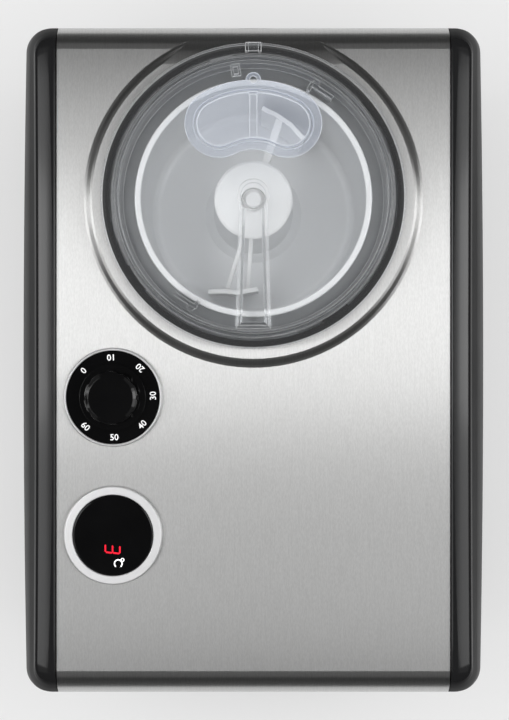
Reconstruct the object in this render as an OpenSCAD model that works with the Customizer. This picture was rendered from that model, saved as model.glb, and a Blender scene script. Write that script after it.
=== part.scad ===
// Self-cooling ice cream maker with a removable bowl.
// Millimetres, +Z up, origin on the table under the middle of the body.
// The front, where the user stands, is -Y; the bowl is on the user's left at -X.

/* [Body] */
// Length of the steel cover over its two short ends
cover_len = 416; // [410:1:430]
// Width of the steel cover between the two side panels
cover_w = 243; // [238:1:256]
// Height of the flat steel top above the table
top_z = 240; // [236:1:252]
// Outer radius of the bend at each short end
bend_r = 16; // [13:1:18]
// Thickness of the steel sheet
sheet = 1.2; // [0.8:0.1:1.6]
// Height of the raised plateau round the bowl
emboss_h = 3; // [2:0.5:4]
// Flat width of the plateau outside the collar
plateau_w = 7; // [5:0.5:9]
// Length over which the plateau slopes down to the steel top
plateau_slope = 5.5; // [4:0.5:8]

/* [Side panels] */
// Bulge of a side panel past the steel cover
panel_w = 26; // [24:0.5:30]
// How far a panel stands proud of the steel, on top and at the ends
panel_over = 2; // [1:0.5:3]
// Wall of the moulded panels
panel_wall = 2.5; // [2:0.25:3]
// Plan radius of a panel's corners
panel_corner = 17; // [12:1:20]
// Bow of a panel along its length
panel_bow = 3; // [0:0.5:5]
// Joint between the steel and a panel
panel_gap = 0.5; // [0.3:0.1:1]
// Radius of the rounded shoulder along the joint
shoulder_r = 7; // [6:0.5:8]
// How much narrower a panel is at its foot than at its widest
panel_taper = 8; // [4:0.5:9]

/* [Base and feet] */
// Height of the rubber feet
foot_h = 9; // [6:1:14]
// Radius of a rubber foot
foot_r = 12; // [9:1:15]
// Thickness of the base tray
tray_t = 3; // [2:0.5:4]
// Height of the tray's upstands behind the steel ends
tray_lip = 16; // [12:1:24]
// Distance of the feet from the short ends of the steel
foot_end = 36; // [30:1:60]
// Distance of the feet from the long edges of the steel
foot_side = 17.5; // [16:0.5:30]

/* [Bowl and well] */
// Distance of the bowl's axis from the left end of the steel
bowl_end = 108; // [106:1:112]
// Inner radius of the bowl
bowl_r = 69.5; // [66:0.5:71]
// Wall of the bowl
bowl_wall = 1; // [0.8:0.1:1.5]
// Depth of the bowl from its rim to its floor
bowl_depth = 107; // [100:1:112]
// Radius of the cone in the bowl's floor, at its foot
cone_r = 33; // [28:1:38]
// Wall of the cooled drum round the bowl
drum_wall = 1.8; // [1.2:0.1:2.5]
// Play between the bowl and the drum
bowl_play = 0.5; // [0.3:0.1:1]
// Depth of the drum's flange below the plateau
well_drop = 7; // [6:0.5:9]
// Radius of the evaporator tube
evap_r = 3.5; // [3:0.25:4]
// Turns of the evaporator tube
evap_turns = 8; // [5:1:10]
// Radial thickness of the foam jacket
foam_t = 14; // [10:1:16]

/* [Collar and lid] */
// Outer radius of the black collar
collar_r = 92.3; // [90:0.5:93]
// Height of the collar above the plateau
collar_h = 7; // [6:0.5:9]
// Width of the collar's flange on the plateau
collar_w = 4; // [3.5:0.25:5]
// Thickness of the clear lid
lid_t = 2; // [1.6:0.1:2.6]
// Height of the lid's disc above its flange
lid_rise = 4; // [3:0.5:6]
// Height of the hollow grip above the disc
grip_h = 6; // [5:0.5:10]
// Width of the grip at the middle of the lid
grip_w0 = 17; // [14:0.5:18]
// Width of the grip at its outer end
grip_w1 = 21.5; // [18:0.5:24]
// Length of the grip from the lid's axis
grip_len = 81; // [74:0.5:82]
// Half length of the refill flap, across the lid
flap_half = 41.7; // [38:0.1:43]
// Radius of the flap's two round ends
flap_end_r = 20.9; // [18:0.1:22]

/* [Paddle and drive] */
// Radius of the paddle's cap
cap_r = 24.5; // [20:0.5:27]
// Depth of the paddle's cap below the bowl's rim
cap_drop = 9; // [7:0.5:14]
// Gap between the blades and the bowl's wall and floor
blade_gap = 3; // [2:0.5:5]
// Thickness of the paddle's blades
blade_t = 3; // [2:0.25:4]
// Radius of the drive shaft
shaft_r = 6; // [5:0.25:7]
// Tooth module of the slow pair of gears
slow_mod = 1.25; // [1.2:0.05:1.3]
// Tooth module of the fast pair of gears
fast_mod = 1; // [0.95:0.05:1.05]
// Width of the slow gears
slow_face = 10; // [8:0.5:12]
// Width of the fast gears
fast_face = 8; // [6:0.5:9]

/* [Controls] */
// Distance of the timer to the right of the bowl's axis
timer_out = 123; // [120:1:128]
// Distance between the timer and the display
display_pitch = 85; // [78:1:92]
// Distance of the timer and the display from the front edge of the steel
control_in = 35; // [33:0.5:42]
// Outer radius of the two chrome bezels
bezel_r = 30.5; // [28:0.5:32]
// Radius of the timer's knob
knob_r = 17; // [15:0.5:19]
// Height of the timer's knob above its dial
knob_h = 17; // [12:0.5:18]
// Number of grip scallops round the knob
knob_lobes = 10; // [6:1:14]

/* [Cooling] */
// Gap from the compressor to the foam, and to the fan motor
comp_gap = 12.3; // [8:0.1:20]
// Height of the compressor's pot
comp_h = 120; // [100:1:130]
// Outer size of the fan's square shroud
fan_size = 124; // [110:1:130]
// Number of fan blades
fan_blades = 7; // [5:1:9]
// Pitch of the condenser's fins
fin_pitch = 4; // [3:0.5:6]
// Height of the condenser
cond_h = 130; // [110:1:140]
// Width of the condenser
cond_w = 150; // [130:2:160]

/* [Hidden] */
$fn = 64;

fit = 0.3;          // gap between a piece and what it seats in
run = 0.08;         // running clearance of a shaft in its bearing
cut = 1;            // how far a cutter reaches past what it cuts
half_len = cover_len / 2;
half_w = cover_w / 2;
bowl_off = half_len - bowl_end;
timer_x = timer_out - bowl_off;
display_x = timer_x + display_pitch;
control_y = half_w - control_in;
foot_x = half_len - foot_end;
foot_y = half_w - foot_side;
tray_z = foot_h + tray_t;
plateau_z = top_z + emboss_h;
plateau_r = collar_r + plateau_w;
collar_top = plateau_z + collar_h;
well_z = plateau_z - well_drop;

module at_bowl() { translate([-bowl_off, 0, 0]) children(); }
module ring(r_out, r_in, h) {
    difference() {
        cylinder(r = r_out, h = h);
        translate([0, 0, -cut]) cylinder(r = r_in, h = h + 2 * cut);
    }
}
elbow = 0.25;       // how much fatter the brazed elbow of a line is than its tube
// Round bar through a list of points, with a ball at each corner
module rod(points, r) {
    for (i = [0:len(points) - 2]) {
        a = points[i];
        d = points[i + 1] - a;
        translate(a) rotate([0, acos(d.z / norm(d)), atan2(d.y, d.x)]) cylinder(r = r, h = norm(d));
    }
    for (i = [1:len(points) - 2]) translate(points[i]) sphere(r = r + elbow);
}
// Pan-head screw, head up, with the underside of its head at the origin
module screw(r, len) {
    rotate_extrude() polygon([[0, -len], [r * 0.8, -len], [r, -len + r * 0.6], [r, 0],
        [2 * r, 0], [2 * r, 0.7 * r], [1.5 * r, 1.3 * r], [0, 1.3 * r]]);
}
// Rounded slot along X, centred
module slot2d(len, w) {
    square([len - w, w], center = true);
    for (s = [-1, 1]) translate([s * (len - w) / 2, 0]) circle(d = w);
}
module rounded2d(x, y, r) {
    square([2 * x - 2 * r, 2 * y], center = true);
    square([2 * x, 2 * y - 2 * r], center = true);
    for (sx = [-1, 1], sy = [-1, 1]) translate([sx * (x - r), sy * (y - r)]) circle(r = r);
}

// ---- Steel cover: one sheet bent down at both short ends, with a drawn plateau ----
plateau_fall = 24;      // length over which the plateau runs out into the end bend
hole_r = collar_r - 1.8;
bezel_hole = bezel_r - 3.5;
edge_h = 9;                 // depth of the down-turned long edges
vent_w = 3.2;
vent_pitch = 9;
vent_rows = [tray_z + 62, tray_z + 112];
vent_len = 38;

// Solid under the bent sheet, seen from the front, in X and Z
module arch2d(inset) {
    r = bend_r - inset;
    h = half_len - inset;
    translate([-h, tray_z]) square([2 * h, top_z - bend_r - tray_z]);
    translate([-(half_len - bend_r), tray_z]) square([2 * (half_len - bend_r), top_z - inset - tray_z]);
    for (s = [-1, 1]) translate([s * (half_len - bend_r), top_z - bend_r]) circle(r = r);
}
module arch(inset, w) {
    rotate([90, 0, 0]) linear_extrude(w, center = true) arch2d(inset);
}
// The plateau, cut off by a large cylinder where it meets the end bend
run_x = half_len - 2 - plateau_fall;
run_drop = emboss_h + bend_r - sqrt(pow(bend_r, 2) - pow(bend_r - 2, 2));
run_r = (pow(plateau_fall, 2) + pow(run_drop, 2)) / (2 * run_drop);
module plateau(inset) {
    intersection() {
        at_bowl() translate([0, 0, top_z - 12]) rotate_extrude() polygon([
            [0, 0], [plateau_r + plateau_slope + 2, 0], [plateau_r + plateau_slope + 2, 8],
            [plateau_r + plateau_slope - inset * 0.4, 12 - inset],
            [plateau_r + plateau_slope * 0.72 - inset * 0.6, 12 + emboss_h * 0.2 - inset],
            [plateau_r + plateau_slope * 0.28 - inset * 0.4, 12 + emboss_h * 0.8 - inset],
            [plateau_r, 12 + emboss_h - inset], [0, 12 + emboss_h - inset]]);
        union() {
            translate([-run_x, -half_w, top_z - 30]) cube([2 * run_x, cover_w, 60]);
            translate([-run_x, 0, plateau_z - run_r]) rotate([90, 0, 0])
                cylinder(r = run_r - inset, h = cover_w, center = true);
        }
    }
}
module vents(side) {
    for (z = vent_rows, i = [-7:7])
        translate([side * half_len, i * vent_pitch, z]) rotate([0, 90, 0])
            linear_extrude(6 * sheet, center = true) slot2d(vent_len, vent_w);
}
module steel_cover() {
    color("silver") difference() {
        union() { arch(0, cover_w); plateau(0); }
        difference() {
            union() { arch(sheet, cover_w + 2 * cut); plateau(sheet); }
            for (s = [-1, 1]) translate([-end_x, s * (half_w - sheet / 2) - sheet / 2, top_z - edge_h])
                cube([2 * end_x, sheet, edge_h]);
        }
        translate([-half_len, -half_w - cut, 0]) cube([cover_len, cover_w + 2 * cut, tray_z]);
        at_bowl() translate([0, 0, top_z - 20]) cylinder(r = hole_r, h = 40);
        for (x = [timer_x, display_x])
            translate([x, -control_y, top_z - 20]) cylinder(r = bezel_hole, h = 40);
        vents(-1);
        vents(1);
        for (s = [-1, 1], y = screw_ys)
            translate([s * half_len, y, screw_z]) rotate([0, 90, 0])
                cylinder(r = screw_r + fit, h = 6 * sheet, center = true);
    }
}
screw_r = 2;
screw_side = 31.5;          // distance of a cover screw from the long edge
screw_ys = [screw_side - half_w, half_w - screw_side];
screw_z = tray_z + tray_lip / 2;
screw_len = 9;
module cover_screws() {
    color("gainsboro") for (s = [-1, 1], y = screw_ys)
        translate([s * half_len, y, screw_z]) rotate([0, s * 90, 0]) screw(screw_r, screw_len);
}

// ---- Side panels: moulded shells swept round the joint, with an outward flare ----
joint_y = half_w + panel_gap;
panel_top = top_z + panel_over;
panel_end = half_len + panel_over;
end_x = half_len - bend_r;
end_z = top_z - bend_r;
end_r = bend_r + panel_over;
panel_foot = foot_h + 1;
widest_z = top_z - 52;
flare_z = panel_top - shoulder_r - 5;
flare_in = panel_w - shoulder_r - 6;
shoulder_y = 6;             // crest of the shoulder, out from the joint
corner_steps = 6;
side_steps = 8;
foot_rings = 5;
arc_rings = 6;
// One profile point, as [distance out from the joint, height], for a skin pulled in by inset
function foot_point(t, inset) = let(z = panel_foot + t * (widest_z - panel_foot))
    [panel_w - panel_taper * pow(1 - t, 2) - inset, z];
function arc_point(a, inset) = [shoulder_y + (shoulder_r - inset) * cos(a),
    panel_top - shoulder_r + (shoulder_r - inset) * sin(a)];
function profile(inset) = concat(
    [for (i = [0:foot_rings]) foot_point(i / foot_rings, inset)],
    [[panel_w - 0.9 - inset, widest_z + 8]],
    [[panel_w - flare_in - inset, flare_z]],
    [[shoulder_y + shoulder_r - 0.9 - inset, flare_z + 1.6]],
    [for (i = [0:arc_rings]) arc_point(90 * i / arc_rings, inset)]);
function end_at(z, inset) = z <= end_z ? panel_end - inset
    : end_x + sqrt(pow(end_r - inset, 2) - pow(z - end_z, 2));
function bow_at(x, out) = panel_bow * pow(x / panel_end, 2) * out / panel_w;
// One plan line of the panel, from its left end round the outside to its right end
function plan_ring(p, inset, y0) =
    let(out = p.x, z = p.y, e = end_at(z, inset), r = min(panel_corner, out * 0.8),
        corner = [for (i = [0:corner_steps]) let(a = 90 * i / corner_steps)
            [e - r + r * cos(a), out - r + r * sin(a)]],
        half = concat([[e, y0]], corner,
            [for (i = [1:side_steps / 2]) [(e - r) * (1 - 2 * i / side_steps), out]]))
    concat(
        [for (q = half) [-q.x, joint_y + q.y - bow_at(q.x, q.y), z]],
        [for (i = [len(half) - 2:-1:0]) let(q = half[i]) [q.x, joint_y + q.y - bow_at(q.x, q.y), z]]);
// Closed body through plan lines of equal length, from the lowest to the highest
module loft(rings) {
    n = len(rings[0]);
    m = len(rings);
    resize([0, 0, 0]) polyhedron(
        points = [for (r = rings, p = r) p],
        faces = concat(
            [[for (j = [n - 1:-1:0]) j]],
            [[for (j = [0:n - 1]) (m - 1) * n + j]],
            [for (i = [0:m - 2], j = [0:n - 1]) let(k = (j + 1) % n, a = i * n, b = a + n)
                each [[b + j, a + j, a + k], [b + j, a + k, b + k]]]));
}
module panel_outside() { loft([for (p = profile(0)) plan_ring(p, 0, 0)]); }
module panel_inside() {
    rings = profile(panel_wall);
    loft(concat([plan_ring([rings[0].x, rings[0].y - cut], panel_wall, -cut)],
        [for (i = [1:len(rings) - 1]) plan_ring(rings[i], panel_wall, -cut)]));
}
boss_end = 58;              // distance of the last boss from the end of the steel
boss_xs = [for (i = [-3:2:3]) i / 3 * (half_len - boss_end)];
boss_out = 9;               // middle of a screw boss, out from the joint
boss_r = 4.5;
boss_h = 12;
pilot_r = 1.6;
groove_in = 1.2;            // middle of the shadow groove, out from the joint
groove_w = 0.8;
module panel() {
    difference() {
        panel_outside();
        difference() {
            panel_inside();
            for (x = boss_xs) {
                translate([x, joint_y + boss_out, tray_z]) cylinder(r = boss_r, h = boss_h);
                translate([x - 1.5, joint_y + boss_out, tray_z]) cube([3, panel_w, boss_h]);
            }
        }
        for (x = boss_xs) translate([x, joint_y + boss_out, tray_z - cut])
            cylinder(r = pilot_r, h = boss_h);
        translate([0, joint_y + groove_in + groove_w / 2, 0]) rotate([90, 0, 0])
            linear_extrude(groove_w) difference() {
                arch2d(-panel_over - cut);
                arch2d(-panel_over + groove_w);
            }
    }
}
inlet_x = half_len - 58;
inlet_z = tray_z + 27;
inlet_half = [14, 10.5];    // half the width and height of the hole in the panel
inlet_depth = 24;
inlet_out = foot_point((inlet_z - panel_foot) / (widest_z - panel_foot), 0).x;
inlet_tilt = 4.5;           // the inlet stands square on the panel's sloping foot
inlet_stand = 0.2;
module at_inlet() {
    translate([inlet_x, joint_y + inlet_out - bow_at(inlet_x, inlet_out), inlet_z])
        rotate([-90 - inlet_tilt, 0, 0]) children();
}
module rear_panel() {
    color("#1c1c1e") difference() {
        panel();
        at_inlet() translate([0, 0, -panel_w / 2]) linear_extrude(panel_w)
            rounded2d(inlet_half.x, inlet_half.y, 2);
    }
}
module front_panel() { color("#1c1c1e") mirror([0, 1, 0]) panel(); }
// Appliance inlet for a detachable lead: its socket, and the three flat pins in it
module socket2d(w, h) {
    polygon([[-w, h], [-w, -h + 5], [-w + 5, -h], [w - 5, -h], [w, -h + 5], [w, h]]);
}
module mains_inlet() {
    color("#101011") at_inlet() difference() {
        union() {
            translate([0, 0, inlet_stand]) linear_extrude(2) rounded2d(inlet_half.x + 3, inlet_half.y + 3, 3);
            translate([0, 0, -inlet_depth]) linear_extrude(inlet_depth + 1)
                rounded2d(inlet_half.x - fit, inlet_half.y - fit, 2);
        }
        translate([0, 0, -inlet_depth + 4]) linear_extrude(inlet_depth) socket2d(12.1, 8.3);
        for (p = pin_at) translate([p.x, p.y, -inlet_depth - cut]) linear_extrude(inlet_depth)
            square([pin_t, pin_w], center = true);
    }
}
pin_t = 2;
pin_w = 4;
pin_at = [[-7, -1.5], [0, 2.5], [7, -1.5]];
module inlet_pins() {
    color("gainsboro") at_inlet() for (p = pin_at) translate([p.x, p.y, -inlet_depth - 4])
        linear_extrude(inlet_depth - 2) square([pin_t, pin_w], center = true);
}
module panel_screws() {
    color("gainsboro") for (s = [-1, 1], x = boss_xs)
        translate([x, s * (joint_y + boss_out), foot_h]) rotate([180, 0, 0]) screw(pilot_r, tray_t + 8);
}

// ---- Base tray and feet ----
tray_side = joint_y + foot_point(0, panel_wall).x - fit - bow_at(panel_end, foot_point(0, panel_wall).x);
tray_end = panel_end - panel_wall - fit;
neck_r = 4;
module base_tray() {
    color("#2a2a2c") difference() {
        union() {
            translate([0, 0, foot_h]) linear_extrude(tray_t) {
                rounded2d(tray_end, tray_side, panel_corner);
                square([cover_len, cover_w], center = true);
            }
            for (s = [-1, 1]) translate([s * (half_len - sheet - 1.5) - 1.5, -half_w + 4, tray_z])
                cube([3, cover_w - 8, tray_lip]);
            for (s = [-1, 1], y = screw_ys) translate([s * (half_len - sheet - 5), y, screw_z])
                cube([8, 10, tray_lip], center = true);
        }
        for (s = [-1, 1], y = screw_ys)
            translate([s * (half_len - 6), y, screw_z]) rotate([0, 90, 0])
                cylinder(r = screw_r, h = 16, center = true);
        for (sx = [-1, 1], sy = [-1, 1]) translate([sx * foot_x, sy * foot_y, 0])
            cylinder(r = neck_r, h = tray_z + cut);
        for (s = [-1, 1], x = boss_xs) translate([x, s * (joint_y + boss_out), 0])
            cylinder(r = pilot_r, h = tray_z + cut);
    }
}
module feet() {
    color("#151515") for (sx = [-1, 1], sy = [-1, 1]) translate([sx * foot_x, sy * foot_y, 0])
        rotate_extrude() polygon([[0, 0], [foot_r - 1.5, 0], [foot_r - 0.5, 1.2], [foot_r, foot_h],
            [neck_r, foot_h], [neck_r, tray_z], [neck_r + 1.5, tray_z], [neck_r, tray_z + 4],
            [0, tray_z + 4]]);
}

// ---- Cooled well: drum, evaporator tube, foam and the frame that carries them ----
rim_t = 2.4;
rim_w = 4.1;
rim_round = 1.1;
rim_z = well_z + fit + rim_t;
floor_z = rim_z - bowl_depth;
drum_in = bowl_r + bowl_wall + bowl_play;
drum_r = drum_in + drum_wall;
drum_floor = floor_z - bowl_wall - bowl_play;
drum_low = drum_floor - drum_wall;
coil_r = drum_r + evap_r + run;
foam_in = coil_r + evap_r + fit;
foam_r = foam_in + foam_t;
foam_top = well_z - drum_wall - 1;
foam_base = 22;
foam_z = drum_low - foam_base;
seal_r = 12;
well_hole = 15;
coil_low = drum_low + 14;
coil_high = foam_top - 10;
coil_pitch = (coil_high - coil_low) / (evap_turns - 1);
cap_line_r = 1.2;
module evaporator_drum() {
    color("#9aa0a6") at_bowl() rotate_extrude() polygon([
        [seal_r, drum_low], [drum_r, drum_low], [drum_r, well_z - drum_wall],
        [hole_r - fit, well_z - drum_wall], [hole_r - fit, well_z], [drum_in, well_z],
        [drum_in, drum_floor + 3], [drum_in - 3, drum_floor], [seal_r, drum_floor]]);
}
module evaporator_coil() {
    color("peru") at_bowl() for (i = [0:evap_turns - 1]) {
        translate([0, 0, coil_low + i * coil_pitch]) rotate_extrude() translate([coil_r, 0]) circle(r = evap_r);
        if (i < evap_turns - 1) rotate([0, 0, 40 + 12 * i]) translate([coil_r, 0, coil_low + i * coil_pitch])
            cylinder(r = evap_r - 0.2, h = coil_pitch);
    }
}
module foam_jacket() {
    color("#e8dfc0") difference() {
        at_bowl() rotate_extrude() polygon([
            [well_hole, foam_z], [foam_r - 3, foam_z], [foam_r, foam_z + 3], [foam_r, foam_top],
            [foam_in, foam_top], [foam_in, drum_low], [well_hole, drum_low]]);
        translate([-bowl_off, 0, coil_high]) rotate([0, 90, 0]) cylinder(r = evap_r + fit, h = foam_r + cut);
        translate([-bowl_off, 0, coil_low]) rotate([0, 90, 0]) cylinder(r = cap_line_r + fit, h = foam_r + cut);
    }
}
frame_t = 1.5;
frame_half = 92;
leg_w = 14;
module support_frame() {
    color("#b5b9bd") difference() {
        union() {
            translate([-bowl_off, 0, foam_z - frame_t]) linear_extrude(frame_t)
                rounded2d(frame_half, frame_half, 10);
            for (sx = [-1, 1], sy = [-1, 1]) translate([-bowl_off, 0, 0]) {
                translate([sx * (frame_half - frame_t / 2 - 2), sy * (frame_half - leg_w), 0]) {
                    translate([-frame_t / 2, -leg_w / 2, tray_z])
                        cube([frame_t, leg_w, foam_z - tray_z - frame_t / 2]);
                    translate([sx > 0 ? -leg_w : 0, -leg_w / 2, tray_z]) cube([leg_w, leg_w, frame_t]);
                }
            }
        }
        at_bowl() translate([0, 0, foam_z - 2 * frame_t]) cylinder(r = bush_r, h = 3 * frame_t);
        for (p = gearbox_corners) translate([p.x, p.y, foam_z - 2 * frame_t])
            cylinder(r = screw_r, h = 3 * frame_t);
        for (a = [45:90:315]) at_bowl() rotate([0, 0, a]) translate([60, 0, foam_z - 2 * frame_t])
            cylinder(r = 12, h = 3 * frame_t);
    }
}

// ---- Collar with its bayonet hooks ----
collar_in = collar_r - collar_w;
hook_len = 1.7;             // how far a hook reaches in from the collar
hook_t = 3.5;
hook_arc = 12;
hook_as = [35, 125, 215, 305];
module wedge(r, a, h) {
    rotate([0, 0, -a / 2]) rotate_extrude(angle = a) square([r, h]);
}
module collar_ring() {
    color("#141414") at_bowl() {
        rotate_extrude() polygon([[collar_in, well_z], [hole_r - fit, well_z], [hole_r - fit, plateau_z],
            [collar_r, plateau_z], [collar_r, collar_top - 1.5], [collar_r - 1.5, collar_top],
            [collar_in, collar_top]]);
        for (a = hook_as) rotate([0, 0, a]) translate([0, 0, collar_top - hook_t]) difference() {
            wedge(collar_in + 1, hook_arc, hook_t);
            translate([0, 0, -cut]) cylinder(r = collar_in - hook_len, h = hook_t + 2 * cut);
        }
    }
}

// ---- Bowl: thin aluminium, with a cone and tube for the drive ----
tube_r = 10.5;
tube_z = floor_z + 62;
cone_z = floor_z + 42;
floor_fillet = 6;
function arc2(cx, cy, r, a0, a1, n = 8) = [for (i = [0:n]) let(a = a0 + (a1 - a0) * i / n)
    [cx + r * cos(a), cy + r * sin(a)]];
// Inside line of the bowl, from the tube's top to the rim, moved out by w
function bowl_line(w) = concat(
    [[tube_r - w, tube_z], [tube_r - w, cone_z]],
    [[cone_r - 6 - w * 0.8, floor_z + 3 - w]],
    [[cone_r - w * 0.4, floor_z - w]],
    arc2(bowl_r - floor_fillet, floor_z + floor_fillet, floor_fillet + w, -90, 0),
    [[bowl_r + w, rim_z - rim_t + 0.3]]);
module bowl() {
    under = bowl_line(bowl_wall);
    color("#c4c7ca") at_bowl() rotate_extrude() polygon(concat(
        bowl_line(0),
        arc2(bowl_r + rim_round, rim_z - rim_round, rim_round, 180, 90, 4),
        arc2(bowl_r + rim_w - rim_round, rim_z - rim_round, rim_round, 90, 0, 4),
        [[bowl_r + rim_w, rim_z - rim_t], [bowl_r + bowl_wall, rim_z - rim_t]],
        [for (i = [len(under) - 2:-1:0]) under[i]]));
}

// ---- Lid ----
flange_z = collar_top + fit;
lid_r = collar_r + 0.6;
skirt_out = collar_in - hook_len - 0.6;
skirt_t = 2;
disc_r = skirt_out - 2;
disc_z = flange_z + lid_rise;      // underside of the disc
disc_top = disc_z + lid_t;
lug_arc = 9;
lug_as = [for (a = hook_as) a - 22];
lug_t = 3;
lug_z = collar_top - hook_t - 0.6 - lug_t;
boss_top_r = 9.5;
grip_wall = 2.2;
grip_side = 1.6;            // draft of the grip's sides
// Kidney outline in [towards the left, across], pulled in by inset
flap_u = 43.3;              // middle of the round ends, from the lid's axis
flap_v = flap_half - flap_end_r;
flap_out = 69.6;            // outer edge, on the middle line
flap_notch = 27.5;          // bottom of the notch, on the middle line
out_c = (pow(flap_out - flap_end_r, 2) - pow(flap_u, 2) - pow(flap_v, 2))
    / (2 * (flap_out - flap_end_r - flap_u));
notch_c = (pow(flap_notch + flap_end_r, 2) - pow(flap_u, 2) - pow(flap_v, 2))
    / (2 * (flap_notch + flap_end_r - flap_u));
module kidney(inset) {
    a = atan2(flap_v, flap_u - out_c);
    b = atan2(flap_v, flap_u - notch_c);
    r = flap_end_r - inset;
    rotate([0, 0, 180]) polygon(concat(
        arc2(out_c, 0, flap_out - out_c - inset, -a, a, 14),
        arc2(flap_u, flap_v, r, a, 180 + b, 14),
        arc2(notch_c, 0, flap_notch - notch_c + inset, b, -b, 8),
        arc2(flap_u, -flap_v, r, 180 - b, 360 - a, 14)));
}
flap_lip = 5;               // how far the flap overlaps the lid round its hole
module grip2d(inset) {
    polygon([[0, -grip_w0 / 2 + inset], [grip_len - inset, -grip_w1 / 2 + inset],
        [grip_len - inset, grip_w1 / 2 - inset], [0, grip_w0 / 2 - inset]]);
}
module grip_solid(inset, low, high) {
    hull() {
        translate([0, 0, low]) linear_extrude(0.1) grip2d(inset);
        translate([0, 0, high - 0.1]) linear_extrude(0.1) grip2d(inset + grip_side);
    }
}
clip_r = 76;
module rim_clip(a) {
    rotate([0, 0, a]) translate([clip_r, 0, well_z + 5]) {
        translate([-1, -8, 0]) cube([2, 16, disc_z - well_z - 4.6]);
        translate([-4, 6, 0]) cube([4, 2, disc_z - well_z - 4.6]);
        translate([1.8, 5, 3]) cylinder(r = 2.2, h = disc_z - well_z - 7.6);
    }
}
module lid() {
    color([0.85, 0.9, 0.95, 0.45]) at_bowl() {
        difference() {
            union() {
                rotate_extrude() polygon([
                    [0, disc_z], [disc_r - 1.6, disc_z], [skirt_out - skirt_t, flange_z],
                    [skirt_out - skirt_t, well_z + 5.6], [skirt_out, well_z + 5.6], [skirt_out, flange_z],
                    [lid_r - 0.5, flange_z], [lid_r - 0.5, flange_z - 0.6],
                    [lid_r + 0.4, flange_z - 0.6], [lid_r + 0.4, flange_z + lid_t - 0.6],
                    [lid_r - 0.6, flange_z + lid_t], [skirt_out + 0.6, flange_z + lid_t],
                    [disc_r, disc_top], [0, disc_top]]);
                grip_solid(0, disc_top - 0.4, disc_top + grip_h);
                translate([0, 0, disc_top - 0.2]) cylinder(r = boss_top_r, h = grip_h + 0.2);
            }
            difference() {
                grip_solid(grip_wall, disc_z - cut, disc_top + grip_h - 1.6);
                translate([0, 0, disc_z - 2 * cut]) cylinder(r = boss_top_r, h = grip_h + 10);
            }
            translate([0, 0, disc_z - cut]) cylinder(r = boss_top_r - 2, h = grip_h + lid_t - 0.8);
            translate([0, 0, disc_z - cut]) linear_extrude(lid_t + 2 * cut) kidney(flap_lip);
        }
        for (a = lug_as) rotate([0, 0, a]) translate([0, 0, lug_z]) difference() {
            wedge(collar_in - 0.5, lug_arc, lug_t);
            translate([0, 0, -cut]) cylinder(r = skirt_out - 0.5, h = lug_t + 2 * cut);
        }
        for (a = [147, 327]) rim_clip(a);
        rotate([0, 0, 188]) translate([clip_r + 1, 0, disc_z - 4]) difference() {
            translate([-3.5, -2.7, 0]) cube([7, 5.4, 4.2]);
            translate([-2.3, -1.5, -cut]) cube([4.6, 3, 4]);
        }
        rotate([0, 0, 180]) translate([lid_r - 5.4, 0, flange_z + lid_t - 0.3]) difference() {
            translate([0, -4.75, 0]) cube([5.4, 9.5, 3.6]);
            translate([-cut, -3.2, -cut]) cube([7, 6.4, 3]);
        }
    }
}
module lid_seal() {
    color([0.9, 0.9, 0.92, 0.8]) at_bowl() rotate_extrude() polygon([
        [skirt_out - skirt_t - fit - 3.2, well_z + fit], [skirt_out - 1, well_z + fit],
        [skirt_out, well_z + 2.4], [skirt_out, well_z + 5.3], [skirt_out - skirt_t - 1.2, well_z + 5.3],
        [skirt_out - skirt_t - fit - 2, well_z + 2]]);
}
flap_t = 1.6;
module refill_flap() {
    color([0.8, 0.86, 0.97, 0.55]) at_bowl() {
        translate([0, 0, disc_top + 0.2]) {
            difference() {
                union() {
                    linear_extrude(flap_t) kidney(0);
                    translate([-flap_out, 0, 0]) cylinder(r = 4.6, h = flap_t);
                }
                translate([-flap_out, 0, -cut]) cylinder(r = 2.2, h = flap_t + 2 * cut);
                translate([0, 0, flap_t - 0.8]) linear_extrude(2) kidney(flap_lip + 2.6);
            }
            translate([-(flap_out - flap_lip - 2.4), -2.2, flap_t - 1])
                cube([flap_out - flap_notch - 2 * flap_lip - 4.6, 4.4, 2.2]);
            translate([-(flap_out - flap_lip - 2.2), -2.8, flap_t - 1]) cube([2, 5.6, 2.6]);
        }
        translate([0, 0, disc_z - 1.5]) linear_extrude(lid_t + 1.9) difference() {
            kidney(flap_lip + fit);
            kidney(flap_lip + fit + 1.6);
        }
    }
}

// ---- Paddle: one white moulding with a cap, two arms and two blades ----
cap_z = rim_z - cap_drop;
cap_t = 3;
hub_r = 15;
socket_af = 9.4;            // across the flats of the drive hexagon
shaft_top = tube_z + 21;
blade_r = bowl_r - blade_gap;
blade_z = floor_z + blade_gap;
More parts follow.
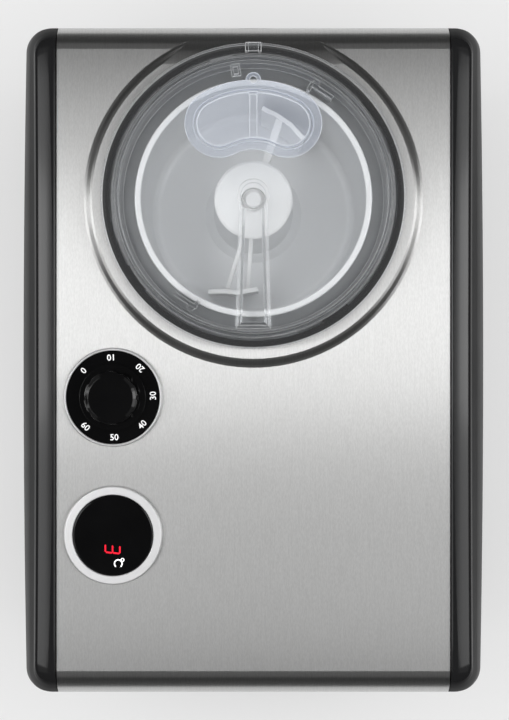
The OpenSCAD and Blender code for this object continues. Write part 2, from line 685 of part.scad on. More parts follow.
// Plan of an upright wall of thickness t that follows a line of points
module wall2d(points, t) {
    n = len(points) - 1;
    side = [for (i = [0:n]) let(d = points[min(i + 1, n)] - points[max(i - 1, 0)])
        [-d.y, d.x] / norm(d) * t / 2];
    polygon(concat([for (i = [0:n]) points[i] + side[i]], [for (i = [n:-1:0]) points[i] - side[i]]));
}
arm_root = 2;               // how far an arm is let into the hub
module arm(a, r, z0, z1, w) {
    run_out = r - hub_r + arm_root;
    rotate([0, 0, a]) translate([hub_r - arm_root, 0, z0]) rotate([0, atan2(z0 - z1, run_out), 0])
        translate([0, -w / 2, -7]) cube([norm([run_out, z0 - z1]), w, 7]);
}
arm_a = 163;
arm_b = -11;
arm_split = 7;              // half the angle between the two thin arms
blade_top_a = 66;           // tops of the two blades above the bowl's floor
blade_top_b = 42;
module paddle() {
    color("white") at_bowl() {
        difference() {
            union() {
                rotate_extrude() polygon([[0, cone_z + 3], [hub_r, cone_z + 3], [hub_r, cap_z - cap_t - 3],
                    [hub_r + 3, cap_z - cap_t], [cap_r, cap_z - cap_t], [cap_r, cap_z - 1.2],
                    [cap_r - 1.5, cap_z - 0.4], [cap_r * 0.5, cap_z], [0, cap_z]]);
                arm(arm_a, blade_r - 8, cap_z - 14, floor_z + blade_top_a - 1, 5);
                arm(arm_b - arm_split, blade_r - 10, cap_z - 22, floor_z + blade_top_b - 1, 2.6);
                arm(arm_b + arm_split, blade_r - 13, cap_z - 22, floor_z + blade_top_b - 1, 2.6);
            }
            translate([0, 0, cone_z]) cylinder(r = tube_r + fit + 0.4, h = tube_z - cone_z + 1);
            translate([0, 0, cone_z]) cylinder(r = (socket_af + 2 * fit) / sqrt(3), h = shaft_top - cone_z + 1,
                $fn = 6);
            translate([0, 0, cap_z - 5]) difference() {
                cylinder(r = 7.5, h = 6);
                cylinder(r = 5, h = 6);
            }
        }
        rotate([0, 0, arm_a]) translate([0, 0, blade_z]) linear_extrude(blade_top_a - blade_gap)
            wall2d([[blade_r - 5, 13], [blade_r - 6.5, 3], [blade_r - 10, -8], [blade_r - 16, -18]], blade_t);
        rotate([0, 0, arm_b]) translate([0, 0, blade_z]) linear_extrude(blade_top_b - blade_gap)
            wall2d([[blade_r - 7, -19], [blade_r - 9.5, -8], [blade_r - 10, 0], [blade_r - 15, 13]], blade_t);
    }
}

// ---- Drive: shaft, gears, gearbox and motor ----
bush_r = 9;
gap_z = 1;                  // clearance above and below each gear
cover_t = 3;
case_t = 3;
box_top = foam_z - frame_t;
slow_z = box_top - cover_t - gap_z - slow_face;
fast_z = slow_z - 1.5 - fast_face;
box_floor = fast_z - gap_z;
box_z = box_floor - case_t;
n_out = 56;
n_small = 14;
n_big = 60;
n_pinion = 12;
slow_cd = slow_mod * (n_out + n_small) / 2;
fast_cd = fast_mod * (n_big + n_pinion) / 2;
pin_r = 3;
motor_shaft_r = 2.5;
gear_x = -bowl_off + slow_cd;
motor_y = -fast_cd;
press = 20;                 // pressure angle
backlash = 0.3;
function inv(a) = tan(a) * 180 / PI - a;
// Angle from a tooth's middle to its flank, at radius r
function flank(n, m, r) = let(rp = n * m / 2, rb = rp * cos(press))
    90 / n - backlash * 45 / (PI * rp) + inv(press) - inv(acos(min(1, rb / r)));
module gear2d(n, m, add, ded, phase) {
    rp = n * m / 2;
    ra = rp + add;
    rf = rp - ded;
    r0 = max(rp * cos(press), rf);
    steps = 4;
    polygon([for (i = [0:n - 1]) let(c = phase + i * 360 / n) each concat(
        [let(a = c - flank(n, m, r0)) rf * [cos(a), sin(a)]],
        [for (k = [0:steps]) let(r = r0 + (ra - r0) * k / steps, a = c - flank(n, m, r)) r * [cos(a), sin(a)]],
        [for (k = [steps:-1:0]) let(r = r0 + (ra - r0) * k / steps, a = c + flank(n, m, r)) r * [cos(a), sin(a)]],
        [let(a = c + flank(n, m, r0)) rf * [cos(a), sin(a)]])]);
}
// Phase that puts a gap of gear 2 on a tooth of gear 1, seen from gear 1 at angle dir
function mesh_phase(n1, phase1, n2, dir) = dir + 180 + 180 / n2 + (dir - phase1) * n1 / n2;
wheel_add = 0.8;
wheel_ded = 1.35;
module drive_shaft() {
    color("gainsboro") at_bowl() {
        translate([0, 0, box_z + 0.5]) cylinder(r = shaft_r, h = tube_z - box_z);
        translate([0, 0, tube_z + 0.4]) cylinder(r = socket_af / sqrt(3), h = shaft_top - tube_z - 0.4, $fn = 6);
    }
}
module shaft_seal() {
    color("#b33a2e") at_bowl() rotate_extrude() polygon([
        [shaft_r + fit, drum_low - 3], [seal_r - 0.1, drum_low - 3], [seal_r - 0.1, drum_floor + 0.1],
        [seal_r + 3, drum_floor + 0.1], [seal_r + 2, drum_floor + 2], [shaft_r + 1.6, drum_floor + 2],
        [shaft_r + fit, drum_floor + 5]]);
}
module bush(z, h) {
    translate([0, 0, z]) ring(bush_r, shaft_r + run, h);
}
module shaft_bushes() {
    color("#b08d57") at_bowl() {
        bush(box_z, case_t);
        bush(box_top - cover_t, cover_t + frame_t);
        translate([0, 0, box_floor]) ring(bush_r + 2, shaft_r + run, gap_z * 0.7);
        translate([0, 0, box_top + frame_t]) ring(bush_r + 2, shaft_r + run, 2);
    }
}
module output_gear() {
    color("#e9e4d4") at_bowl() translate([0, 0, slow_z]) difference() {
        union() {
            linear_extrude(slow_face) gear2d(n_out, slow_mod, wheel_add * slow_mod, wheel_ded * slow_mod, 0);
            translate([0, 0, -7]) cylinder(r = shaft_r + 5, h = slow_face + 7);
        }
        translate([0, 0, -8]) cylinder(r = shaft_r, h = slow_face + 10);
        for (s = [0, 1]) translate([0, 0, s ? slow_face - 2.5 : -cut])
            ring(n_out * slow_mod / 2 - 4.5, shaft_r + 5, 2.5 + cut);
        for (a = [0:60:300]) rotate([0, 0, a]) translate([20.5, 0, -cut]) cylinder(r = 5, h = slow_face + 2);
    }
}
small_phase = mesh_phase(n_out, 0, n_small, 0);
module compound_gear() {
    color("#e3ddc9") translate([gear_x, 0, 0]) difference() {
        union() {
            translate([0, 0, fast_z]) linear_extrude(fast_face)
                gear2d(n_big, fast_mod, wheel_add * fast_mod, wheel_ded * fast_mod, 0);
            translate([0, 0, fast_z + fast_face]) linear_extrude(slow_z + slow_face - fast_z - fast_face)
                gear2d(n_small, slow_mod, wheel_add * slow_mod, wheel_ded * slow_mod, small_phase);
        }
        translate([0, 0, fast_z - cut]) cylinder(r = pin_r + run, h = 60);
        translate([0, 0, fast_z + fast_face - 2]) ring(n_big * fast_mod / 2 - 4, n_small * slow_mod / 2 + 3, 3);
        translate([0, 0, fast_z - cut]) ring(n_big * fast_mod / 2 - 4, pin_r + 4, 2 + cut);
    }
}
module gear_pin() {
    color("silver") translate([gear_x, 0, box_z]) cylinder(r = pin_r, h = box_top - box_z);
}
rotor_r = 14;
core_t = 24;
core_z = box_z - 7 - core_t;
core_half = 30;
module motor_pinion() {
    color("#c9a86a") translate([gear_x, motor_y, fast_z]) difference() {
        linear_extrude(fast_face) gear2d(n_pinion, fast_mod, wheel_add * fast_mod, wheel_ded * fast_mod,
            mesh_phase(n_big, 0, n_pinion, -90));
        translate([0, 0, -cut]) cylinder(r = motor_shaft_r, h = fast_face + 2);
    }
}
module motor_rotor() {
    color("#8e9196") translate([gear_x, motor_y, 0]) {
        translate([0, 0, core_z - 8]) cylinder(r = motor_shaft_r, h = fast_z + fast_face - core_z + 8);
        translate([0, 0, core_z]) cylinder(r = rotor_r, h = core_t);
    }
}
post_r = 4;
gearbox_x0 = -bowl_off - n_out * slow_mod / 2 - 9;
gearbox_x1 = gear_x + n_big * fast_mod / 2 + 9;
gearbox_y0 = motor_y - core_half - 2;
gearbox_y1 = n_out * slow_mod / 2 + 7;
gearbox_corners = [for (x = [gearbox_x0 + 5, gearbox_x1 - 5], y = [gearbox_y0 + 5, gearbox_y1 - 5]) [x, y]];
motor_posts = [for (s = [-1, 1], t = [-1, 1]) [gear_x + s * (core_half - 5), motor_y + t * (core_half - 5)]];
module gearbox2d(inset) {
    translate([(gearbox_x0 + gearbox_x1) / 2, (gearbox_y0 + gearbox_y1) / 2])
        rounded2d((gearbox_x1 - gearbox_x0) / 2 - inset, (gearbox_y1 - gearbox_y0) / 2 - inset, 6 - inset);
}
module gearbox_base() {
    color("#2f3133") difference() {
        union() {
            difference() {
                translate([0, 0, box_z]) linear_extrude(box_top - cover_t - box_z) gearbox2d(0);
                translate([0, 0, box_floor]) linear_extrude(60) gearbox2d(2);
            }
            for (p = gearbox_corners) translate([p.x, p.y, box_z])
                cylinder(r = post_r, h = box_top - cover_t - box_z);
            for (p = motor_posts) translate([p.x, p.y, core_z + core_t])
                cylinder(r = post_r, h = box_z - core_z - core_t + 1);
        }
        for (p = gearbox_corners) translate([p.x, p.y, box_z - cut]) cylinder(r = screw_r, h = 60);
        at_bowl() translate([0, 0, box_z - cut]) cylinder(r = bush_r, h = 2 * case_t);
        translate([gear_x, 0, box_z - cut]) cylinder(r = pin_r, h = 2 * case_t);
        translate([gear_x, motor_y, box_z - cut]) cylinder(r = motor_shaft_r + fit, h = 2 * case_t);
    }
}
module gearbox_cover() {
    color("#3a3c3f") difference() {
        translate([0, 0, box_top - cover_t]) linear_extrude(cover_t) gearbox2d(0);
        for (p = gearbox_corners) translate([p.x, p.y, box_z]) cylinder(r = screw_r, h = 60);
        at_bowl() translate([0, 0, box_z]) cylinder(r = bush_r, h = 60);
        translate([gear_x, 0, box_z]) cylinder(r = pin_r, h = 60);
    }
}
module gearbox_screws() {
    color("silver") for (p = gearbox_corners) translate([p.x, p.y, box_z]) rotate([180, 0, 0])
        screw(screw_r, foam_z - box_z);
}
module motor_core() {
    color("#6d7075") translate([gear_x, motor_y, core_z]) difference() {
        translate([-core_half, -core_half, 0]) cube([2 * core_half, 2 * core_half, core_t]);
        translate([0, 0, -cut]) cylinder(r = rotor_r + 0.5, h = core_t + 2);
        for (s = [-1, 1]) translate([core_half - 13, s * 14 - 4, -cut]) cube([7, 8, core_t + 2]);
        translate([core_half - 13, -14, -cut]) cube([5, 28, core_t + 2]);
    }
}
module motor_coil() {
    color("#b5653a") translate([gear_x + core_half, motor_y, core_z - 3]) difference() {
        translate([0, -13, 0]) cube([12, 26, core_t + 6]);
        translate([3, -14, 6]) cube([12, 5, core_t - 6]);
        translate([3, 9, 6]) cube([12, 5, core_t - 6]);
    }
}

// ---- Controls ----
dial_r = bezel_r - 1.6;
dial_t = 1.2;
bezel_h = 2.6;
timer_depth = 30;
timer_shaft_r = 3;
module at_timer() { translate([timer_x, -control_y, top_z]) children(); }
module at_display() { translate([display_x, -control_y, top_z]) children(); }
module timer_body() {
    color("#e6e6e0") at_timer() difference() {
        union() {
            translate([0, 0, -timer_depth]) cylinder(r = bezel_hole - 3, h = timer_depth - 4);
            translate([0, 0, -sheet - 5]) cylinder(r = bezel_hole + 3, h = 5);
            translate([0, 0, -sheet - 0.1]) cylinder(r = bezel_hole - fit, h = sheet + 0.1);
        }
        translate([0, 0, -14]) cylinder(r = timer_shaft_r + fit, h = 20);
    }
}
module timer_shaft() {
    color("silver") at_timer() translate([0, 0, -13.5]) cylinder(r = timer_shaft_r, h = 13.5 + dial_t + 0.6 + 9);
}
module timer_plate() {
    color("#111111") at_timer() ring(dial_r - 0.1, timer_shaft_r + fit, dial_t);
}
module bezel(r_out, r_in, h) {
    rotate_extrude() polygon([[r_in, 0], [r_out, 0], [r_out, h - 1.2], [r_out - 0.5, h - 0.3],
        [r_out - 0.9, h], [r_in + 0.3, h], [r_in, h - 0.4]]);
}
module timer_bezel() { color("gainsboro") at_timer() bezel(bezel_r, dial_r, bezel_h); }
skirt_r = knob_r + 3.5;
module timer_knob() {
    color("#161616") at_timer() translate([0, 0, dial_t + 0.6]) difference() {
        union() {
            cylinder(r = skirt_r, h = 2.4);
            rotate_extrude() polygon([[0, 2], [knob_r, 2], [knob_r - 0.8, knob_h - 2.5],
                [knob_r - 1.6, knob_h - 0.9], [knob_r - 3.4, knob_h], [0, knob_h - 0.6]]);
        }
        for (i = [0:knob_lobes - 1]) rotate([0, 0, (i + 0.5) * 360 / knob_lobes])
            translate([knob_r + 2.1, 0, 2.4]) cylinder(r = 3.6, h = knob_h);
        translate([0, 0, -cut]) cylinder(r = timer_shaft_r + 0.05, h = 10);
    }
}
lens_r = bezel_r - 5.5;
module display_body() {
    color("#26282b") at_display() difference() {
        union() {
            translate([0, 0, -sheet - 14]) cylinder(r = bezel_hole + 2, h = 14);
            translate([0, 0, -sheet - 0.1]) cylinder(r = bezel_hole - fit, h = sheet + 0.1);
        }
        translate([0, 0, -sheet - 15]) cylinder(r = bezel_hole - 2, h = 11);
    }
}
module display_bezel() { color("gainsboro") at_display() bezel(bezel_r, lens_r, bezel_h); }
module display_lens() {
    color("#0b0b0c") at_display() rotate_extrude() polygon([[0, 0], [lens_r - 0.1, 0],
        [lens_r - 0.1, 1.4], [lens_r - 1, 1.7], [0, 1.9]]);
}

// ---- Cooling: compressor, condenser, fan and refrigerant lines ----
cond_t = 24;
cond_gap = 10;
cond_x = half_len - sheet - cond_gap - cond_t;
cond_mid = cond_x + cond_t / 2;
fan_gap = 8;
shroud_t = 14;
fan_x = cond_x - fan_gap - shroud_t;
strut_t = 3;
motor_len = 20;
foam_x = foam_r - bowl_off;             // right side of the foam
motor_x = fan_x - strut_t - motor_len;  // left side of the fan motor
comp_band = 2.5;
comp_r = (motor_x - foam_x) / 2 - comp_gap - comp_band;
comp_x = (motor_x + foam_x) / 2;
comp_y = 18;
comp_foot = 9;
comp_plate_t = 2.5;
comp_z = tray_z + comp_foot + comp_plate_t;
comp_feet_at = [for (sx = [-1, 1], sy = [-1, 1]) [comp_x + sx * (comp_r - 12), comp_y + sy * (comp_r - 12)]];
line_r = 3.5;
port_r = 4.5;
port_in = 22;               // distance of the ports from the side of the pot
suction_port = [comp_x - comp_r + port_in, comp_y];
discharge_port = [comp_x + (comp_r - port_in) * 0.8, comp_y + (comp_r - port_in) * 0.8];
port_z = comp_z + comp_h - 4;
port_low = 22;
port_top = 4;
module compressor() {
    color("#1d1e20") {
        translate([comp_x, comp_y, comp_z]) rotate_extrude() polygon(concat(
            [[0, 0]], arc2(comp_r - 14, 14, 14, -90, 0),
            [[comp_r, comp_h * 0.56], [comp_r + comp_band, comp_h * 0.56],
            [comp_r + comp_band, comp_h * 0.6], [comp_r - 0.6, comp_h * 0.6]],
            arc2(comp_r - 24.6, comp_h - 26, 24, 0, 70), [[0, comp_h]]));
        difference() {
            translate([comp_x, comp_y, comp_z - comp_plate_t]) linear_extrude(comp_plate_t)
                rounded2d(comp_r - 4, comp_r - 4, 9);
            for (p = comp_feet_at) translate([p.x, p.y, 0]) cylinder(r = 4, h = comp_z + cut);
        }
        for (p = [suction_port, discharge_port])
            translate([p.x, p.y, port_z - port_low]) cylinder(r = port_r, h = port_low + port_top);
    }
}
module compressor_feet() {
    color("#202020") for (p = comp_feet_at) translate([p.x, p.y, tray_z]) rotate_extrude() polygon([
        [0, 0], [8, 0], [7, 2.5], [8, 4.5], [7, 6.5], [8, comp_foot], [4, comp_foot],
        [4, comp_foot + comp_plate_t], [6, comp_foot + comp_plate_t], [5, comp_foot + comp_plate_t + 2.5],
        [0, comp_foot + comp_plate_t + 2.5]]);
}
cover_side = 24;
module terminal_cover() {
    color("#2b2b2e") difference() {
        translate([comp_x - cover_side / 2, comp_y - comp_r - 16, comp_z + 30]) cube([cover_side, 34, 34]);
        translate([comp_x, comp_y, comp_z]) cylinder(r = comp_r + run, h = comp_h);
        translate([comp_x - cover_side / 2 + 2, comp_y - comp_r - 14, comp_z + 28]) cube([cover_side - 4, 8, 34]);
    }
}
cond_z = tray_z + 4;
cond_passes = 6;
cond_tube_r = 3.5;
pass_pitch = cond_h / cond_passes;
fin_t = 0.8;
fin_n = floor((cond_w - 4) / fin_pitch);
function pass_z(i) = cond_z + pass_pitch * (i + 0.5);
module fin2d() {
    difference() {
        square([cond_t, cond_h]);
        for (i = [0:cond_passes - 1]) translate([cond_t / 2, pass_z(i) - cond_z]) circle(r = cond_tube_r);
    }
}
module condenser_fins() {
    color("#aeb3b8") {
        for (i = [0:fin_n]) translate([cond_x, (i - fin_n / 2) * fin_pitch + fin_t / 2, cond_z])
            rotate([90, 0, 0]) linear_extrude(fin_t) fin2d();
        for (s = [-1, 1]) translate([cond_x, s * cond_w / 2 + 0.75, cond_z]) rotate([90, 0, 0])
            linear_extrude(1.5) fin2d();
        for (s = [-1, 1]) translate([cond_x, s * cond_w / 2 - 0.75, tray_z]) {
            cube([cond_t, 1.5, cond_z - tray_z + 1]);
            translate([0, s > 0 ? 0 : -8, 0]) cube([cond_t, 9.5, 1.5]);
        }
    }
}
cond_bend_y = cond_w / 2 + 3;
cond_end = cond_bend_y + 0.2;
module condenser_tube() {
    color("#a9684a") {
        for (i = [0:cond_passes - 1]) translate([cond_mid, -cond_end, pass_z(i)]) rotate([-90, 0, 0])
            cylinder(r = cond_tube_r, h = 2 * cond_end);
        for (i = [0:cond_passes - 2])
            translate([cond_mid, (i % 2 ? 1 : -1) * cond_bend_y, pass_z(i) + pass_pitch / 2])
            rotate([0, 90, 0]) rotate([0, 0, i % 2 ? 0 : 180]) rotate_extrude(angle = 180)
                translate([pass_pitch / 2, 0]) circle(r = cond_tube_r + 2 * elbow);
    }
}
fan_z = tray_z + fan_size / 2;
fan_r = fan_size / 2 - 9;
fan_hub = 17;
fan_shaft_r = 2.5;
module fan_shroud() {
    color("#2a2c2f") {
        translate([fan_x, 0, fan_z]) rotate([90, 0, 90]) difference() {
            linear_extrude(shroud_t) rounded2d(fan_size / 2, fan_size / 2, 5);
            translate([0, 0, -cut]) cylinder(r = fan_r + 1.5, h = shroud_t + 2);
        }
        for (a = [45:90:315]) translate([fan_x - strut_t + 0.5, 0, fan_z]) rotate([a, 0, 0])
            translate([0, -3, 20]) cube([strut_t, 6, fan_r - 14]);
        translate([fan_x - strut_t, 0, fan_z]) rotate([0, 90, 0]) ring(24, fan_shaft_r + 4, strut_t);
    }
}
module fan_rotor() {
    color("#3b3e42") translate([fan_x, 0, fan_z]) rotate([0, 90, 0]) {
        difference() {
            translate([0, 0, 1]) cylinder(r = fan_hub, h = shroud_t - 2);
            translate([0, 0, -cut]) ring(fan_hub - 2, fan_shaft_r + 3, shroud_t - 2);
        }
        intersection() {
            translate([0, 0, 1]) ring(fan_r, fan_hub - 1, shroud_t - 2);
            union() for (i = [0:fan_blades - 1]) rotate([0, 0, i * 360 / fan_blades])
                translate([fan_hub - 1, 0, shroud_t / 2]) rotate([24, 0, 0])
                    translate([0, -18, -0.8]) cube([fan_r, 36, 1.6]);
        }
        translate([0, 0, -12]) cylinder(r = fan_shaft_r, h = 14);
    }
}
module fan_motor() {
    color("#54575b") translate([fan_x - strut_t, 0, fan_z]) rotate([0, -90, 0]) difference() {
        union() {
            cylinder(r = 22, h = motor_len);
            cylinder(r = 24, h = 3);
        }
        translate([0, 0, -cut]) cylinder(r = fan_shaft_r + fit, h = 11);
    }
}
drier_len = 56;
drier_x1 = cond_mid - 57;
drier_x0 = drier_x1 - drier_len;
drier_y = comp_y + comp_r + 16;
drier_r = 8;
low_z = pass_z(0);
module filter_drier() {
    color("peru") translate([drier_x0, drier_y, low_z]) rotate([0, 90, 0]) rotate_extrude() polygon([
        [0, 0], [line_r, 0], [drier_r, 7], [drier_r, drier_len - 7], [line_r, drier_len], [0, drier_len]]);
}
bend_up = port_z + 20;
line_x = foam_x + line_r + 4.3;         // the lines rise between the foam and the compressor
module suction_line() {
    color("peru") rod([[-bowl_off + coil_r + evap_r, 0, coil_high], [line_x, 0, coil_high], [line_x, 0, bend_up],
        [suction_port.x, suction_port.y, bend_up], [suction_port.x, suction_port.y, port_z + port_top]], line_r);
}
module discharge_line() {
    y = cond_w / 2 + 14;
    color("peru") rod([[discharge_port.x, discharge_port.y, port_z + port_top],
        [discharge_port.x, discharge_port.y, bend_up], [cond_mid, y, bend_up],
        [cond_mid, y, pass_z(cond_passes - 1)],
        [cond_mid, cond_end, pass_z(cond_passes - 1)]], line_r);
}
module liquid_line() {
    color("peru") rod([[cond_mid, cond_end, low_z], [cond_mid, drier_y, low_z], [drier_x1, drier_y, low_z]],
        line_r);
}
module capillary_line() {
    color("peru") rod([[drier_x0, drier_y, low_z], [line_x, drier_y, low_z], [line_x, drier_y, coil_low],
        [line_x, 0, coil_low], [-bowl_off + coil_r + evap_r, 0, coil_low]], cap_line_r);
}

board_x = comp_x;
board_y = -half_w + 7.5;
board_z = tray_z + 10;
board = [84, 46, 1.6];
module control_board() {
    color("#2f6b3c") translate([board_x, board_y, board_z]) {
        cube(board);
        for (x = [5, board.x - 5], y = [5, board.y - 5]) translate([x, y, tray_z - board_z])
            cylinder(r = 3, h = board_z - tray_z);
        translate([8, 12, board.z]) cube([26, 24, 18]);
        translate([42, 14, board.z]) cube([18, 12, 14]);
        translate([50, 36, board.z]) cylinder(r = 5, h = 16);
        translate([68, 10, board.z]) cube([8, 26, 9]);
    }
}

steel_cover();
front_panel();
rear_panel();
base_tray();
feet();
cover_screws();
panel_screws();
mains_inlet();
inlet_pins();
collar_ring();
evaporator_drum();
evaporator_coil();
foam_jacket();
support_frame();
bowl();
paddle();
lid();
lid_seal();
refill_flap();
drive_shaft();
shaft_seal();
shaft_bushes();
output_gear();
compound_gear();
gear_pin();
motor_pinion();
gearbox_base();
gearbox_cover();
gearbox_screws();
motor_core();
motor_coil();
motor_rotor();
timer_body();
timer_shaft();
timer_plate();
timer_bezel();
timer_knob();
display_body();
display_bezel();
display_lens();
compressor();
compressor_feet();
terminal_cover();
condenser_fins();
condenser_tube();
fan_shroud();
fan_rotor();
fan_motor();
filter_drier();
suction_line();
discharge_line();
liquid_line();
capillary_line();
control_board();
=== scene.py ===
"""Finish, side panels, lettering and studio of the ice cream maker, as an add-on that is run as a script.

Metres, +Z up. The front, with the timer and the display, is -Y; the bowl is at -X.
"""
import math

import bmesh
import bpy
from bpy.props import FloatProperty, FloatVectorProperty, PointerProperty
from bpy.types import Operator, Panel, PropertyGroup
from mathutils import Matrix, Vector


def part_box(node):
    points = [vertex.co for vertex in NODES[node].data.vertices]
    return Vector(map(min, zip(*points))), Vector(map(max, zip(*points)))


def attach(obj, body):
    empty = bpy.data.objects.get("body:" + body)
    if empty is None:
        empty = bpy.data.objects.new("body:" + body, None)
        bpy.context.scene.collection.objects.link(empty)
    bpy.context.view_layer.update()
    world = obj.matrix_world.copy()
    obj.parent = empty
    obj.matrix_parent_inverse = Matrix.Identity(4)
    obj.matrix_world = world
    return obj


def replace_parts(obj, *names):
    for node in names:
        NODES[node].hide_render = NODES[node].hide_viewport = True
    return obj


bl_info = {
    "name": "Ice Cream Maker Finish",
    "version": (1, 0, 0),
    "blender": (4, 5, 0),
    "location": "View3D > Sidebar > Ice Cream Maker",
    "description": "Dresses the packed ice cream maker and sets up its studio",
    "category": "Object",
}

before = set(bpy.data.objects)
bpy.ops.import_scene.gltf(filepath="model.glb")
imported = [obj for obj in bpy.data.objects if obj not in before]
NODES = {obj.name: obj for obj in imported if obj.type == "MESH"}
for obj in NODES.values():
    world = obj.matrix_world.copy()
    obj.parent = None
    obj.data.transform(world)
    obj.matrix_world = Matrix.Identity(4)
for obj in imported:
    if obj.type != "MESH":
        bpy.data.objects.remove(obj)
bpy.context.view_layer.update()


def middle(node):
    """Centre of a node's box, in metres."""
    low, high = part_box(node)
    return (low + high) / 2


BOWL = middle("bowl")
TIMER = middle("timer_bezel")
DISPLAY = middle("display_bezel")


# ---- Shader kit -------------------------------------------------------------------------------


class Signal:
    """A number that varies over a surface. Python's operators on it add Math nodes."""

    def __init__(self, finish, socket):
        self.finish, self.socket = finish, socket

    def out(self, name):
        return Signal(self.finish, self.socket.node.outputs[name])

    def maths(self, operation, *values):
        return self.finish.node("ShaderNodeMath", {"operation": operation}, enumerate(values))

    def __add__(self, other):
        return self.maths("ADD", self, other)

    def __radd__(self, other):
        return self.maths("ADD", other, self)

    def __sub__(self, other):
        return self.maths("SUBTRACT", self, other)

    def __rsub__(self, other):
        return self.maths("SUBTRACT", other, self)

    def __mul__(self, other):
        return self.maths("MULTIPLY", self, other)

    def __pow__(self, other):
        return self.maths("POWER", self, other)

    def __gt__(self, other):
        return self.maths("GREATER_THAN", self, other)

    def sine(self):
        return self.maths("SINE", self)

    def at_most(self, limit):
        return self.maths("MINIMUM", self, limit)


class Finish:
    """One material, and the ways of adding nodes to it."""

    def __init__(self, name):
        self.material = bpy.data.materials.new(name)
        self.material.use_nodes = True
        self.tree = self.material.node_tree
        self.tree.nodes.clear()

    def node(self, kind, settings=(), values=(), output=0):
        """Adds a node with its settings and the values or signals of its inputs, and gives one output."""
        made = self.tree.nodes.new(kind)
        for key, value in dict(settings).items():
            setattr(made, key, value)
        for key, value in dict(values).items():
            if isinstance(value, Signal):
                self.tree.links.new(value.socket, made.inputs[key])
            else:
                made.inputs[key].default_value = value
        return Signal(self, made.outputs[output]) if made.outputs else made

    def place(self):
        return self.node("ShaderNodeTexCoord", output="Object")

    def axes(self, centre=(0, 0, 0)):
        """X, Y and Z of the point being shaded, from a centre, in metres."""
        moved = self.node("ShaderNodeMapping", {"vector_type": "POINT"},
                          {"Vector": self.place(), "Location": [-c for c in centre]})
        split = self.node("ShaderNodeSeparateXYZ", values={"Vector": moved})
        return split, split.out("Y"), split.out("Z")

    def noise(self, scale, detail=2.0, roughness=0.5):
        """Noise of 0 to 1 that has scale cells to the metre along each axis."""
        stretched = self.node("ShaderNodeMapping", {"vector_type": "POINT"},
                              {"Vector": self.place(), "Scale": scale})
        return self.node("ShaderNodeTexNoise", {"noise_dimensions": "3D"},
                         {"Vector": stretched, "Scale": 1.0, "Detail": detail, "Roughness": roughness})

    def grain(self, cells, detail=2.0, roughness=0.5):
        return self.noise((cells, cells, cells), detail, roughness)

    def span(self, value, low, high, to_low=0.0, to_high=1.0):
        """value from low to high, eased to run from to_low to to_high."""
        return self.node("ShaderNodeMapRange", {"interpolation_type": "SMOOTHSTEP", "clamp": True},
                         {0: value, 1: low, 2: high, 3: to_low, 4: to_high})

    def level(self, value, low, high):
        """A signal of 0 to 1 spread from low to high."""
        return value * (high - low) + low

    def blend(self, amount, first, second):
        """The first colour where amount is 0, and the second where it is 1."""
        values = {0: amount, 6: paint(first), 7: paint(second)}
        return self.node("ShaderNodeMix", {"data_type": "RGBA"}, values, 2)

    def bump(self, height, distance, strength=1.0, normal=None):
        values = {"Height": height, "Distance": distance, "Strength": strength}
        if normal is not None:
            values["Normal"] = normal
        return self.node("ShaderNodeBump", values=values)

    def soft_edge(self, radius):
        """Normals that round every hard edge by a small radius."""
        return self.node("ShaderNodeBevel", {"samples": 4}, {"Radius": radius})

    def edges(self, radius):
        """1 on every edge of the piece, and 0 a radius away from it."""
        rounded = self.node("ShaderNodeBevel", {"samples": 8}, {"Radius": radius})
        flat = self.node("ShaderNodeNewGeometry", output="True Normal")
        cosine = self.node("ShaderNodeVectorMath", {"operation": "DOT_PRODUCT"},
                           {0: rounded, 1: flat}, "Value")
        return self.span(cosine, 0.8, 0.985, 1.0, 0.0)

    def surface(self, **values):
        """The principled surface, with Base_Color standing for the socket Base Color."""
        named = {key.replace("_", " "): value for key, value in values.items()}
        if "Base Color" in named:
            named["Base Color"] = paint(named["Base Color"])
        if "Emission Color" in named:
            named["Emission Color"] = paint(named["Emission Color"])
        return self.node("ShaderNodeBsdfPrincipled", values=named)

    def done(self, shader):
        self.node("ShaderNodeOutputMaterial", values={"Surface": shader})
        return self.material


def paint(colour):
    """A colour of three numbers with an alpha of 1, or a signal as it is."""
    if isinstance(colour, Signal) or len(colour) == 4:
        return colour
    return (*colour, 1.0)


# ---- Finishes ---------------------------------------------------------------------------------


def brushed_steel(name, colour, roughness, contrast):
    """Sheet steel brushed along the machine's length and on down its ends."""
    f = Finish(name)
    fine = f.noise((420, 1500, 420), 2.0, 0.6)
    long = f.noise((50, 900, 50), 2.0, 0.5)
    cloud = f.noise((5, 9, 5), 2.0, 0.5)
    streak = fine * 0.7 + long * 0.3
    dark, light = [c * (1 - contrast) for c in colour], [min(c * (1 + contrast), 1) for c in colour]
    tone = f.blend(f.span(streak, 0.3, 0.7), dark, light)
    rough = f.level(streak, roughness - 0.06, roughness + 0.06) + (cloud - 0.5) * 0.05
    across = f.node("ShaderNodeCombineXYZ", values={"Y": 1.0})
    return f.done(f.surface(Base_Color=tone, Metallic=1.0, Roughness=rough, Anisotropic=1.0, Tangent=across,
                            Normal=f.bump(streak, 0.00003, 0.3, f.soft_edge(0.0004))))


def moulded(name, colour, roughness, texture=0.00003, cells=900.0, edge=0.0004, specular=0.5):
    """Moulded plastic: a fine skin texture, and a little wear in its gloss."""
    f = Finish(name)
    skin = f.grain(cells, 3.0, 0.55)
    smear = f.grain(22.0, 3.0, 0.6)
    light = [min(c * 1.06 + 0.001, 1) for c in colour]
    tone = f.blend(f.span(smear, 0.35, 0.75), [c * 0.94 for c in colour], light)
    rough = f.level(smear, roughness * 0.85, roughness * 1.2)
    return f.done(f.surface(Base_Color=tone, Roughness=rough, Specular_IOR_Level=specular,
                            Normal=f.bump(skin, texture, 0.5, f.soft_edge(edge))))


